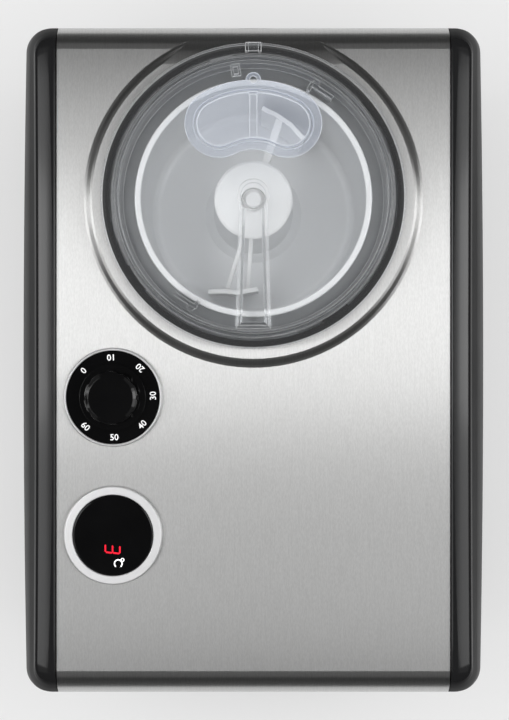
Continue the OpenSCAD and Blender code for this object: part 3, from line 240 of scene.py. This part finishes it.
def plain_metal(name, colour, roughness, cells=700.0, stretch=(1, 1, 1), mottle=0.08):
    """Turned, drawn or rolled metal with fine marks and slight tarnish."""
    f = Finish(name)
    marks = f.noise([cells * s for s in stretch], 3.0, 0.6)
    tarnish = f.grain(30.0, 4.0, 0.6)
    tone = f.blend(f.span(tarnish, 0.3, 0.75), [c * (1 - mottle) for c in colour], colour)
    rough = f.level(marks, roughness * 0.8, roughness * 1.2)
    return f.done(f.surface(Base_Color=tone, Metallic=1.0, Roughness=rough,
                            Normal=f.bump(marks, 0.00003, 0.3, f.soft_edge(0.0003))))


def turned_metal(name, colour, rim_highlight_colour, roughness, centre, rim_z):
    """Spun aluminium with rings of turning marks, and above rim_z a rolled rim painted pale and barely
    metallic: a painted highlight ring on the real rim.
    """
    f = Finish(name)
    x, y, z = f.axes(centre)
    radius = (x * x + y * y) ** 0.5
    rings = (radius * 5200.0 + z * 2600.0).sine()
    grain = f.grain(900.0, 2.0, 0.5)
    # Above rim_z the rim is painted pale and less metallic: a painted highlight ring.
    rim = f.span(z, rim_z - 0.0012, rim_z - 0.0004)
    tone = f.blend(rim, f.blend(grain, [c * 0.93 for c in colour], colour), rim_highlight_colour)
    rough = (1 - rim) * f.level(grain, roughness - 0.05, roughness + 0.08) + rim * 0.2
    return f.done(f.surface(Base_Color=tone, Metallic=f.level(rim, 0.3, 0.1), Roughness=rough,
                            Normal=f.bump(rings * 0.5 + grain, 0.00002, 0.35)))


def clear_plastic(name, tint, haze, glint, milk, edge_highlight_colour):
    """Thin clear moulding whose edges are painted pale and opaque, a painted highlight for the light caught
    in them. It mirrors more the more edge-on it is seen.
    """
    f = Finish(name)
    flow = f.grain(45.0, 2.0, 0.5)
    facing = f.node("ShaderNodeLayerWeight", values={"Blend": 0.35}, output="Facing")
    # rim picks out the edges, which are painted pale and opaque: a painted highlight.
    rim = f.edges(0.0010)
    bump = f.bump(flow, 0.0004, 0.2, f.soft_edge(0.0005))
    gloss = f.node("ShaderNodeFresnel", values={"IOR": 1.5, "Normal": bump})
    body = f.surface(Base_Color=f.blend(rim, tint, edge_highlight_colour), Metallic=(1 - rim) * (1 - milk),
                     Roughness=0.09, Specular_IOR_Level=0.8, Normal=bump)
    amount = haze + gloss * glint + (facing ** 3.0) * 0.3 + rim * 0.7
    through = f.node("ShaderNodeBsdfTransparent", values={"Color": (0.985, 0.99, 0.995, 1.0)})
    return f.done(f.node("ShaderNodeMixShader", values={0: amount.at_most(0.92), 1: through, 2: body}))


def satin_ring(name):
    """Satin bright ring round a control."""
    f = Finish(name)
    scuff = f.grain(300.0, 3.0, 0.6)
    tone = f.blend(scuff, (0.83, 0.83, 0.84), (0.87, 0.87, 0.87))
    return f.done(f.surface(Base_Color=tone, Metallic=0.6, Roughness=f.level(scuff, 0.36, 0.46),
                            Normal=f.bump(scuff, 0.00001, 0.3, f.soft_edge(0.0006))))


def glowing(name, colour, strength):
    """A lit mark on a dark face, or a printed one made to glow a little as painted light."""
    f = Finish(name)
    fleck = f.grain(1500.0, 1.0)
    return f.done(f.surface(Base_Color=f.blend(fleck, [c * 0.85 for c in colour], colour), Roughness=0.4,
                            Emission_Color=colour, Emission_Strength=strength))


def foam_finish(name, colour):
    """Set foam: matt, with open cells."""
    f = Finish(name)
    cell = f.grain(420.0, 4.0, 0.7)
    tone = f.blend(f.span(cell, 0.3, 0.7), [c * 0.82 for c in colour], colour)
    return f.done(f.surface(Base_Color=tone, Roughness=0.85, Normal=f.bump(cell, 0.0006, 0.8)))


def board_finish(name, low, colour):
    """Laminate with copper tracks; what stands on it is dark or pale by its height."""
    f = Finish(name)
    x, y, z = f.axes(low)
    track = ((x * 1500.0).sine() > 0.6) * ((y * 260.0).sine() > -0.5)
    part = f.span(z, 0.0120, 0.0124)
    tone = f.blend(part, f.blend(track, colour, [c * 1.8 for c in colour]),
                   f.blend(f.grain(60.0, 0.0) > 0.5, (0.05, 0.05, 0.055), (0.5, 0.47, 0.36)))
    return f.done(f.surface(Base_Color=tone, Roughness=0.45, Normal=f.bump(track, 0.00005, 0.5)))


def dress(material, *nodes):
    """Gives CAD nodes a finish in place of their plain one."""
    for name in nodes:
        mesh = NODES[name].data
        mesh.materials.clear()
        mesh.materials.append(material)


# ---- Mesh kit ---------------------------------------------------------------------------------


def piece(name, shape, material, body, smooth=0.0):
    """Makes a bmesh into a piece that rides on a body, smooth where its faces meet under an angle."""
    bmesh.ops.recalc_face_normals(shape, faces=shape.faces)
    mesh = bpy.data.meshes.new(name)
    shape.to_mesh(mesh)
    shape.free()
    if smooth:
        mesh.shade_smooth()
        mesh.set_sharp_from_angle(angle=smooth)
    mesh.materials.append(material)
    made = bpy.data.objects.new(name, mesh)
    bpy.context.scene.collection.objects.link(made)
    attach(made, body)
    return made


def add_loft(shape, rings):
    """A closed body through rings of as many points each, from the lowest to the highest."""
    rows = [[shape.verts.new(point) for point in ring] for ring in rings]
    for low, high in zip(rows, rows[1:]):
        for i in range(len(low)):
            shape.faces.new((low[i - 1], low[i], high[i], high[i - 1]))
    shape.faces.new(rows[0])
    shape.faces.new(rows[-1])


def cut_out(made, low, high):
    """Cuts a box out of a piece."""
    shape = bmesh.new()
    size = high - low
    bmesh.ops.create_cube(shape, size=1.0, matrix=Matrix.Translation((low + high) / 2)
                          @ Matrix.Diagonal((*size, 1.0)))
    mesh = bpy.data.meshes.new("cutter")
    shape.to_mesh(mesh)
    shape.free()
    cutter = bpy.data.objects.new("cutter", mesh)
    bpy.context.scene.collection.objects.link(cutter)
    cut = made.modifiers.new("cut", "BOOLEAN")
    cut.operation, cut.solver, cut.object = "DIFFERENCE", "EXACT", cutter
    bpy.context.view_layer.update()
    done = bpy.data.meshes.new_from_object(made.evaluated_get(bpy.context.evaluated_depsgraph_get()))
    made.modifiers.remove(cut)
    made.data = done
    bpy.data.objects.remove(cutter)


def add_bar(shape, matrix, length, width, height):
    """A bar with bevelled ends, centred on matrix, length along its X."""
    size = Matrix.Diagonal((length, width, height, 1.0))
    made = bmesh.ops.create_cube(shape, size=1.0, matrix=matrix @ size)
    local = matrix.inverted()
    upright = [e for e in {e for v in made["verts"] for e in v.link_edges}
               if abs((local @ e.verts[0].co - local @ e.verts[1].co).z) > height * 0.5]
    bmesh.ops.bevel(shape, geom=upright, offset=width * 0.45, segments=1, profile=0.5, affect="EDGES",
                    material=-1, offset_type="OFFSET")


def add_ring(shape, centre, outer, inner, height, start=0.0, sweep=2 * math.pi, steps=32):
    """A flat ring, or part of one, standing on centre."""
    full = sweep > 2 * math.pi - 1e-6
    section = [shape.verts.new(centre + Vector((r * math.cos(start), r * math.sin(start), z)))
               for r, z in ((inner, 0), (outer, 0), (outer, height), (inner, height))]
    face = shape.faces.new(section)
    bmesh.ops.spin(shape, geom=[face, *face.edges, *section], cent=centre, axis=(0, 0, 1), angle=sweep,
                   steps=steps, use_merge=full)
    if full and face.is_valid:
        bmesh.ops.delete(shape, geom=[face], context="FACES_ONLY")


def add_text(shape, words, size, height, bold, matrix):
    """Raised lettering, centred on matrix."""
    line = bpy.data.curves.new("lettering", "FONT")
    line.body, line.size, line.extrude, line.offset = words, size, height / 2, bold
    line.align_x, line.align_y = "CENTER", "CENTER"
    line.resolution_u = 3
    holder = bpy.data.objects.new("lettering", line)
    bpy.context.scene.collection.objects.link(holder)
    bpy.context.view_layer.update()
    mesh = bpy.data.meshes.new_from_object(holder.evaluated_get(bpy.context.evaluated_depsgraph_get()))
    mesh.transform(matrix)
    shape.from_mesh(mesh)
    bpy.data.objects.remove(holder)
    bpy.data.curves.remove(line)
    bpy.data.meshes.remove(mesh)


def turned(place, right, up=(0, 0, 1)):
    """A matrix at place whose X is right and whose Z is up."""
    x, z = Vector(right).normalized(), Vector(up).normalized()
    matrix = Matrix((x, z.cross(x), z)).transposed().to_4x4()
    matrix.translation = place
    return matrix


# ---- Settings ---------------------------------------------------------------------------------


class StudioSettings(PropertyGroup):
    """Floor, lamps and camera."""
    floor_colour: FloatVectorProperty(name="Floor", description="Colour of the floor under the machine",
                                      subtype="COLOR", size=3, min=0, max=1, default=(0.74, 0.74, 0.74))
    backdrop: FloatProperty(name="Backdrop", description="How white the floor looks, where 1 is white",
                            default=0.4, min=0, max=1, subtype="FACTOR")
    key_light: FloatProperty(name="Key lights", description="Brightness of the softboxes beside the bowl",
                             default=1.95, min=0)
    wide_light: FloatProperty(name="Wide lights", description="Brightness of the wide softboxes",
                              default=1.42, min=0)
    long_light: FloatProperty(name="Long lights", description="Brightness of the long softboxes",
                              default=0.17, min=0)
    fill_light: FloatProperty(name="Fill light", description="Brightness of the unmirrored ceiling",
                              default=2.0, min=0)
    room: FloatProperty(name="Room", description="Brightness of the room that lights the machine",
                        default=0.06, min=0)
    distance: FloatProperty(name="Distance", description="How white the room looks past the floor's edge",
                            default=0.7, min=0, max=1, subtype="FACTOR")
    camera_height: FloatProperty(name="Camera height", description="Height of the camera above the table",
                                 default=1.157, min=0.5, unit="LENGTH")
    camera_right: FloatProperty(name="Camera offset", description="Offset of the camera towards the back",
                                default=0.0007, unit="LENGTH")
    lens: FloatProperty(name="Lens", description="Focal length in millimetres", default=74.3, min=10)


class HousingSettings(PropertyGroup):
    """Steel cover, side panels and base."""
    steel_colour: FloatVectorProperty(name="Steel", description="Colour of the brushed cover",
                                      subtype="COLOR", size=3, min=0, max=1, default=(0.60, 0.60, 0.595))
    steel_roughness: FloatProperty(name="Steel roughness", description="Spread of the cover's reflections",
                                   default=0.38, min=0.1, max=0.9, subtype="FACTOR")
    brush_contrast: FloatProperty(name="Brush marks", description="Contrast of the brush marks", default=0.07,
                                  min=0, max=0.4, subtype="FACTOR")
    panel_colour: FloatVectorProperty(name="Panels", description="Colour of the side panels", subtype="COLOR",
                                      size=3, min=0, max=1, default=(0.010, 0.010, 0.0105))
    panel_roughness: FloatProperty(name="Panel roughness", description="Spread of the panels' reflections",
                                   default=0.45, min=0.02, max=0.9, subtype="FACTOR")
    panel_width: FloatProperty(name="Panel width", description="Bulge of a side panel past the joint",
                               default=0.0249, unit="LENGTH")
    panel_taper: FloatProperty(name="Panel taper", description="How much narrower a panel is at its foot",
                               default=0.008, unit="LENGTH")
    panel_corner: FloatProperty(name="Panel corner", description="Radius of a panel's corners, from above",
                                default=0.0145, unit="LENGTH")
    panel_bow: FloatProperty(name="Panel bow", description="How far a panel's outside bows in at its ends",
                             default=0.0022, unit="LENGTH")
    crest_bow: FloatProperty(name="Crest bow", description="How far a panel's crest bows out at its ends",
                             default=0.0038, unit="LENGTH")
    widest_depth: FloatProperty(name="Widest depth", description="Depth at which a panel is widest",
                                default=0.036, unit="LENGTH")
    end_swell: FloatProperty(name="End swell", description="How far a panel's ends swell below the shoulder",
                             default=0.0034, unit="LENGTH")
    shoulder_width: FloatProperty(name="Shoulder", description="Width of the panels' rounded shoulder",
                                  default=0.0122, unit="LENGTH")
    crest_out: FloatProperty(name="Crest", description="Distance of the shoulder's crest from the joint",
                             default=0.0012, unit="LENGTH")
    end_round: FloatProperty(name="End radius", description="Radius of a panel's ends, from the side",
                             default=0.018, unit="LENGTH")
    gloss_depth: FloatProperty(name="Gloss depth", description="Depth of the panels' glossy crown",
                               default=0.0022, min=0, unit="LENGTH")


class BowlSettings(PropertyGroup):
    """Bowl, paddle and lid."""
    bowl_colour: FloatVectorProperty(name="Bowl", description="Colour of the bowl's satin inside",
                                     subtype="COLOR", size=3, min=0, max=1, default=(0.94, 0.945, 0.95))
    # The rim's pale colour is a painted highlight ring.
    rim_highlight_colour: FloatVectorProperty(name="Rim", description="Colour of the bowl's bright rim",
                                    subtype="COLOR", size=3, min=0, max=1, default=(0.97, 0.97, 0.97))
    paddle_colour: FloatVectorProperty(name="Paddle", description="Colour of the paddle", subtype="COLOR",
                                       size=3, min=0, max=1, default=(0.93, 0.93, 0.925))
    lid_tint: FloatVectorProperty(name="Lid", description="Tint of the clear lid", subtype="COLOR",
                                  size=3, min=0, max=1, default=(0.80, 0.81, 0.82))
    flap_tint: FloatVectorProperty(name="Flap", description="Tint of the refill flap", subtype="COLOR",
                                   size=3, min=0, max=1, default=(0.72, 0.77, 0.88))


class ControlSettings(PropertyGroup):
    """Timer dial and display."""
    number_height: FloatProperty(name="Number height", description="Height of the dial's numbers",
                                 default=0.0038, min=0.002, max=0.006, unit="LENGTH")
    number_radius: FloatProperty(name="Number radius", description="Radius at which the numbers stand",
                                 default=0.0248, min=0.02, max=0.027, unit="LENGTH")
    number_colour: FloatVectorProperty(name="Numbers", description="Colour of the printed numbers",
                                       subtype="COLOR", size=3, min=0, max=1, default=(0.92, 0.92, 0.92))
    first_angle: FloatProperty(name="Angle of 0", description="Angle of the number 0, seen from the front",
                               default=math.radians(137.8), subtype="ANGLE")
    number_step: FloatProperty(name="Angle between numbers", description="Angle from one number to the next",
                               default=math.radians(45.2), subtype="ANGLE")
    digit_height: FloatProperty(name="Digit height", description="Height of the display's lit digit",
                                default=0.0097, min=0.006, max=0.014, unit="LENGTH")
    digit_colour: FloatVectorProperty(name="Digit", description="Colour of the lit digit", subtype="COLOR",
                                      size=3, min=0, max=1, default=(0.62, 0.0, 0.015))


# ---- Operators --------------------------------------------------------------------------------


class MAKER_OT_studio(Operator):
    """Floor, lamps, room and camera"""
    bl_idname = "maker.studio"
    bl_label = "Studio"

    def execute(self, context):
        s = context.scene.maker_studio
        scene = context.scene
        scene.view_settings.view_transform = "Standard"

        shape = bmesh.new()
        bmesh.ops.create_grid(shape, x_segments=1, y_segments=1, size=4.0)
        mesh = bpy.data.meshes.new("floor")
        shape.to_mesh(mesh)
        shape.free()
        mesh.materials.append(self.floor_finish(s))
        floor = bpy.data.objects.new("floor", mesh)
        scene.collection.objects.link(floor)
        scene.world = self.room(s)

        for side in (-1, 1):
            y = side * 0.87
            self.lamp(scene, "key", (-0.093, y, 1.24), (0.36, 0.95), s.key_light)
            self.lamp(scene, "wide", (0.032, y, 1.25), (0.95, 0.95), s.wide_light)
            self.lamp(scene, "long", (0.0, y, 1.26), (2.4, 0.95), s.long_light)
        self.lamp(scene, "fill", (0.0, 0.0, 2.2), (2.6, 2.6), s.fill_light).visible_glossy = False

        eye = bpy.data.cameras.new("camera")
        eye.lens, eye.sensor_width, eye.sensor_fit = s.lens, 36.0, "AUTO"
        camera = bpy.data.objects.new("camera", eye)
        camera.location = (0.0, s.camera_right, s.camera_height)
        camera.rotation_euler = (0.0, 0.0, math.pi / 2)
        scene.collection.objects.link(camera)
        scene.camera = camera
        return {"FINISHED"}

    def floor_finish(self, s):
        """A matt floor, mixed with plain white where it is seen, mirrored or seen through something."""
        f = Finish("floor")
        ray = f.node("ShaderNodeLightPath", output="Is Camera Ray")
        seen = ray + ray.out("Is Glossy Ray") + ray.out("Is Transmission Ray")
        dull = f.node("ShaderNodeBsdfDiffuse", values={"Color": paint(s.floor_colour)})
        white = f.node("ShaderNodeEmission", values={"Color": (1, 1, 1, 1), "Strength": 1.0})
        return f.done(f.node("ShaderNodeMixShader", values={0: seen * s.backdrop, 1: dull, 2: white}))

    def room(self, s):
        """A dim room that looks pale past the floor's edge."""
        world = bpy.data.worlds.new("room")
        world.use_nodes = True
        tree = world.node_tree
        back = tree.nodes["Background"]
        back.inputs["Color"].default_value = (1.0, 1.0, 1.0, 1.0)
        ray = tree.nodes.new("ShaderNodeLightPath")
        strength = tree.nodes.new("ShaderNodeMath")
        strength.operation = "MULTIPLY_ADD"
        tree.links.new(ray.outputs["Is Camera Ray"], strength.inputs[0])
        strength.inputs[1].default_value = s.distance - s.room
        strength.inputs[2].default_value = s.room
        tree.links.new(strength.outputs[0], back.inputs["Strength"])
        return world

    def lamp(self, scene, name, place, size, brightness):
        """A softbox that faces the machine. Its brightness is that of its face, where 1 is white."""
        light = bpy.data.lights.new(name, "AREA")
        light.shape, light.size, light.size_y = "RECTANGLE", *size
        light.energy = brightness * math.pi * size[0] * size[1]
        made = bpy.data.objects.new(name, light)
        made.matrix_world = turned(place, (1, 0, 0), Vector((0, place[1], place[2] - 0.2)))
        scene.collection.objects.link(made)
        return made


class MAKER_OT_housing(Operator):
    """Steel cover, side panels, base, feet, screws and inlet"""
    bl_idname = "maker.housing"
    bl_label = "Housing"

    def execute(self, context):
        s = context.scene.maker_housing
        steel = brushed_steel("brushed_steel", s.steel_colour, s.steel_roughness, s.brush_contrast)
        dress(steel, "steel_cover")
        black = self.panel_finish(s)
        self.panel(s, "front_panel", -1, black)
        low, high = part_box("mains_inlet")
        margin, past = Vector((0.0003, 0.0, 0.0003)), Vector((0.0, 0.01, 0.0))
        cut_out(self.panel(s, "rear_panel", 1, black), low - margin, high + margin + past)
        dress(moulded("tray_black", (0.05, 0.05, 0.053), 0.5, 0.00008, 900.0), "base_tray")
        dress(moulded("foot_rubber", (0.03, 0.03, 0.031), 0.75, 0.00010, 1300.0), "feet")
        dress(moulded("inlet_black", (0.03, 0.03, 0.031), 0.4), "mains_inlet")
        bright = plain_metal("plated_steel", (0.72, 0.72, 0.73), 0.28, 900.0)
        dress(bright, "cover_screws", "panel_screws", "inlet_pins")
        self.recess_shade()
        return {"FINISHED"}

    def panel(self, s, node, side, material):
        """A side panel: rings round its plan, one for each point of its section, from foot to crest."""
        low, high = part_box(node)
        joint = low.y if side > 0 else -high.y
        shape = bmesh.new()
        add_loft(shape, [[(x, side * (joint + y), z) for x, y in self.plan(s, high, out, inner, z)]
                         for out, inner, z in self.section(s, low.z, high.z)])
        made = piece(node + "_moulding", shape, material, "housing", math.radians(40))
        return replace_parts(made, node)

    def section(self, s, foot, top):
        """Distance of a panel's outside and of its inside from the joint, with the height of both."""
        edge, crown = s.crest_out + s.shoulder_width, self.shoulder(s)
        rise = crown[-1][1]
        widest, neck = top - s.widest_depth, top - rise
        flank = [(s.panel_width - s.panel_taper * (1 - i / 8) ** 2, foot + (widest - foot) * i / 8)
                 for i in range(9)]
        flare = [(s.panel_width - 0.0005, widest + 0.0045), (s.panel_width - 0.0025, widest + 0.0105),
                 (edge + 0.0042, neck - 0.0055), (edge + 0.0004, neck - 0.0012), (edge, neck)]
        points = [(out, 0.0, z) for out, z in flank + flare]
        for out, height in crown:
            bend = max(height - (rise - s.crest_out), 0.0)
            inner = s.crest_out - math.sqrt(max(s.crest_out ** 2 - bend ** 2, 0.0))
            points.append((out, inner, neck + height))
        return points

    def shoulder(self, s):
        """The rounded shoulder, as distances from the joint and heights above its edge.

        It turns from upright to level in a tight round, then an easy one, then an almost flat crown.
        """
        step, tight, easy, flat = 2, 0.37, 0.7, 8.0
        out, rise, points = s.crest_out + s.shoulder_width, 0.0, []
        for tilt in range(90 - step, -1, -step):
            radius = s.shoulder_width * (tight if tilt > 28 else easy if tilt > 4 else flat)
            angle, arc = math.radians(tilt + step / 2), math.radians(step) * radius
            out = max(out - arc * math.cos(angle), s.crest_out + 0.0001)
            rise += arc * math.sin(angle)
            points.append((out, rise))
        return points

    def plan(self, s, corner, out, inner, z):
        """A panel's outline at one height, as distances along the machine and past the joint."""
        length = corner.x - s.end_swell + 0.0003
        edge = s.crest_out + s.shoulder_width
        rise = max(z - (corner.z - s.end_round), 0.0)
        end = length - s.end_round + math.sqrt(s.end_round ** 2 - rise ** 2)
        end += s.end_swell * max(out - edge, 0.0) / (s.panel_width - edge)
        r = min(s.panel_corner, (out - inner) * 0.8)
        angles = [math.radians(7.5 * i) for i in range(13)]
        half = [(end, inner)] + [(end - r + r * math.cos(a), out - r + r * math.sin(a)) for a in angles]
        half += [((end - r) * (1 - i / 12), out) for i in range(1, 13)]
        inside = [(end * (1 - i / 12), inner) for i in range(1, 24)]
        outwards = (out - s.crest_out) / (s.panel_width - s.crest_out)
        shift = s.crest_bow - (s.crest_bow + s.panel_bow) * outwards
        return [(x, y + shift * (x / length) ** 2 * (y - inner) / (out - inner))
                for x, y in [(-x, y) for x, y in half] + half[-2::-1] + inside]

    def panel_finish(self, s):
        """Black moulding, satin on its flank and glossy on its crown."""
        f = Finish("gloss_black")
        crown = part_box("front_panel")[1].z - s.gloss_depth
        height = f.axes()[2]
        smear = f.grain(22.0, 3.0, 0.6)
        gloss = f.span(height, crown - 0.002, crown)
        tone = f.blend(smear, [c * 0.92 for c in s.panel_colour], s.panel_colour)
        rough = f.level(smear, s.panel_roughness * 0.9, s.panel_roughness * 1.1) * (1 - gloss * 0.6)
        normal = f.bump(f.grain(900.0, 3.0, 0.55), 0.00002, 0.3, f.soft_edge(0.0006))
        return f.done(f.surface(Base_Color=tone, Roughness=rough, Specular_IOR_Level=0.18,
                                Coat_Weight=gloss * 0.8, Coat_Roughness=0.12, Normal=normal))

    def recess_shade(self):
        """Dark crosses on the cover screws' heads: painted shade that stands for their cross recesses."""
        low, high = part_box("cover_screws")
        y, z = high.y - 0.004, (low.z + high.z) / 2
        slot = Matrix.Diagonal((0.0036, 0.0008, 0.0001, 1.0))
        shape = bmesh.new()
        for place in ((x, side * y, z) for x in (low.x, high.x) for side in (-1, 1)):
            for turn in (20, 110):
                matrix = (Matrix.Translation(place) @ Matrix.Rotation(math.radians(turn), 4, "X")
                          @ Matrix.Rotation(math.pi / 2, 4, "Y"))
                bmesh.ops.create_cube(shape, size=1.0, matrix=matrix @ slot)
        shadow = moulded("recess_shadow", (0.01, 0.01, 0.01), 0.6)
        # The dark crosses are painted shade, not cut recesses.
        piece("screw_recess_shade", shape, shadow, "housing")


class MAKER_OT_bowl(Operator):
    """Collar, cooled well, bowl and paddle"""
    bl_idname = "maker.bowl"
    bl_label = "Bowl and paddle"

    def execute(self, context):
        s = context.scene.maker_bowl
        dress(moulded("collar_black", (0.006, 0.006, 0.0063), 0.2, edge=0.0006, specular=0.3), "collar_ring")
        axis, top = (BOWL.x, BOWL.y, 0.0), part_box("bowl")[1].z
        dress(turned_metal("bowl_aluminium", s.bowl_colour, s.rim_highlight_colour, 0.42, axis, top), "bowl")
        dress(plain_metal("drum_aluminium", (0.6, 0.61, 0.62), 0.38, 800.0),
              "evaporator_drum", "condenser_fins")
        dress(moulded("paddle_white", s.paddle_colour, 0.32, edge=0.0008), "paddle")
        return {"FINISHED"}


class MAKER_OT_lid(Operator):
    """Clear lid, refill flap and seal"""
    bl_idname = "maker.lid"
    bl_label = "Lid"

    def execute(self, context):
        s = context.scene.maker_bowl
        # The last colour of each is painted onto the edges: a painted highlight.
        dress(clear_plastic("clear_lid", s.lid_tint, 0.03, 1.0, 0.25, (0.96, 0.965, 0.97)), "lid")
        dress(clear_plastic("clear_flap", s.flap_tint, 0.13, 1.0, 0.8, (0.92, 0.95, 1.0)), "refill_flap")
        dress(clear_plastic("pale_seal", (0.82, 0.82, 0.82), 0.2, 0.4, 0.7, (0.85, 0.85, 0.86)), "lid_seal")
        return {"FINISHED"}


class MAKER_OT_timer(Operator):
    """Timer dial with its numbers, bezel and knob"""
    bl_idname = "maker.timer"
    bl_label = "Timer"

    def execute(self, context):
        s = context.scene.maker_controls
        dress(moulded("dial_black", (0.002, 0.002, 0.0022), 0.08, 0.000005, specular=0.35), "timer_plate")
        dress(moulded("knob_black", (0.002, 0.002, 0.0022), 0.05, 0.000003, edge=0.0005), "timer_knob")
        dress(satin_ring("satin_ring"), "timer_bezel", "display_bezel")
        centre = Vector((TIMER.x, TIMER.y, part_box("timer_plate")[1].z + 0.00002))
        font_size, thickness, bold = s.number_height * 1.42, 0.00008, 0.00006
        shape = bmesh.new()
        for i in range(7):
            angle = s.first_angle - i * s.number_step
            out = Vector((-math.sin(angle), math.cos(angle), 0))
            place = turned(centre + out * s.number_radius, (-out.y, out.x, 0))
            add_text(shape, str(10 * i), font_size, thickness, bold, place)
        # The printed numbers glow faintly: painted light that keeps the print bright.
        print_with_painted_glow = glowing("printed_white_glowing", s.number_colour, 0.12)
        piece("dial_numbers", shape, print_with_painted_glow, "housing")
        return {"FINISHED"}


class MAKER_OT_display(Operator):
    """Display window with its lit digit and the degree mark"""
    bl_idname = "maker.display"
    bl_label = "Display"

    def execute(self, context):
        s = context.scene.maker_controls
        lens = moulded("lens_black", (0.002, 0.002, 0.0022), 0.07, 0.000004, 200.0, specular=0.35)
        dress(lens, "display_lens")
        top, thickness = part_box("display_lens")[1].z, 0.0001
        stroke, width, tall = s.digit_height * 0.1, s.digit_height * 0.49, s.digit_height * 0.92
        centre = Vector((DISPLAY.x + 0.0084, DISPLAY.y - 0.0002, top - 0.00004))
        lean = Vector((math.tan(math.radians(6)), 1.0, 0.0))
        shape = bmesh.new()
        for up in (-0.5, 0.0, 0.5):
            place = centre + lean * (up * tall)
            add_bar(shape, turned(place, (1, 0, 0)), width * 0.95, stroke, thickness)
        for up in (-0.25, 0.25):
            place = centre + lean * (up * tall) + Vector((width * 0.5, 0, 0))
            add_bar(shape, turned(place, lean), s.digit_height * 0.43, stroke, thickness)
        piece("lit_digit", shape, glowing("lit_red", s.digit_colour, 1.0), "housing")

        shape = bmesh.new()
        letter = Vector((DISPLAY.x + 0.0174, DISPLAY.y + 0.0033, top - 0.00008))
        start, sweep = math.radians(38), math.radians(284)
        add_ring(shape, letter, 0.00275, 0.00195, thickness, start, sweep, 40)
        add_ring(shape, letter + Vector((-0.0023, 0.0026, 0)), 0.0012, 0.0006, thickness)
        lit_white = glowing("lit_white", (0.95, 0.95, 0.95), 0.5)
        piece("degree_mark", shape, lit_white, "housing")
        return {"FINISHED"}


class MAKER_OT_works(Operator):
    """Finishes of what is inside the housing"""
    bl_idname = "maker.works"
    bl_label = "Works"

    def execute(self, context):
        dress(plain_metal("copper", (0.72, 0.36, 0.22), 0.32, 500.0, mottle=0.25),
              "evaporator_coil", "condenser_tube", "filter_drier", "suction_line", "discharge_line",
              "liquid_line", "capillary_line")
        dress(plain_metal("enamelled_wire", (0.55, 0.22, 0.1), 0.35, 1400.0, (1, 1, 0.05), 0.2), "motor_coil")
        dress(foam_finish("cream_foam", (0.83, 0.76, 0.56)), "foam_jacket")
        dress(plain_metal("zinc_sheet", (0.56, 0.58, 0.6), 0.45, 300.0, mottle=0.2), "support_frame")
        dress(plain_metal("stacked_sheet", (0.4, 0.41, 0.43), 0.5, 2500.0, (0.02, 0.02, 1), 0.15),
              "motor_core")
        dress(plain_metal("ground_steel", (0.66, 0.66, 0.67), 0.22, 900.0),
              "drive_shaft", "gear_pin", "gearbox_screws", "timer_shaft", "motor_rotor")
        dress(plain_metal("bronze", (0.62, 0.42, 0.2), 0.4, 700.0), "shaft_bushes", "motor_pinion")
        dress(moulded("gear_nylon", (0.84, 0.8, 0.68), 0.45), "output_gear", "compound_gear")
        dress(moulded("timer_case", (0.8, 0.79, 0.75), 0.5), "timer_body")
        dress(moulded("box_grey", (0.05, 0.052, 0.056), 0.5, 0.00008),
              "gearbox_base", "gearbox_cover", "fan_shroud", "fan_rotor", "display_body", "terminal_cover")
        dress(moulded("seal_red", (0.45, 0.07, 0.05), 0.6), "shaft_seal")
        dress(moulded("pot_enamel", (0.02, 0.02, 0.021), 0.3, 0.0001, 350.0), "compressor")
        dress(moulded("mount_rubber", (0.025, 0.025, 0.026), 0.8, 0.0001), "compressor_feet")
        dress(plain_metal("motor_case", (0.25, 0.26, 0.27), 0.4, 600.0), "fan_motor")
        dress(board_finish("board_green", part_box("control_board")[0], (0.03, 0.13, 0.045)), "control_board")
        return {"FINISHED"}


STEPS = (MAKER_OT_studio, MAKER_OT_housing, MAKER_OT_bowl, MAKER_OT_lid, MAKER_OT_timer, MAKER_OT_display,
         MAKER_OT_works)


class MAKER_PT_sidebar(Panel):
    """Lists the steps and their settings"""
    bl_idname = "MAKER_PT_sidebar"
    bl_label = "Ice Cream Maker"
    bl_space_type = "VIEW_3D"
    bl_region_type = "UI"
    bl_category = "Ice Cream Maker"

    def draw(self, context):
        for step in STEPS:
            self.layout.operator(step.bl_idname)
        for group in (context.scene.maker_studio, context.scene.maker_housing, context.scene.maker_bowl,
                      context.scene.maker_controls):
            box = self.layout.box()
            for name in group.bl_rna.properties.keys():
                if name not in ("rna_type", "name"):
                    box.prop(group, name)


GROUPS = {"maker_studio": StudioSettings, "maker_housing": HousingSettings, "maker_bowl": BowlSettings,
          "maker_controls": ControlSettings}


def register():
    for cls in (*GROUPS.values(), *STEPS, MAKER_PT_sidebar):
        bpy.utils.register_class(cls)
    for name, cls in GROUPS.items():
        setattr(bpy.types.Scene, name, PointerProperty(type=cls))


def unregister():
    for name in GROUPS:
        delattr(bpy.types.Scene, name)
    for cls in (MAKER_PT_sidebar, *reversed(STEPS), *GROUPS.values()):
        bpy.utils.unregister_class(cls)


def main():
    register()
    for step in STEPS:
        group, name = step.bl_idname.split(".")
        getattr(getattr(bpy.ops, group), name)()


if __name__ == "__main__":
    main()
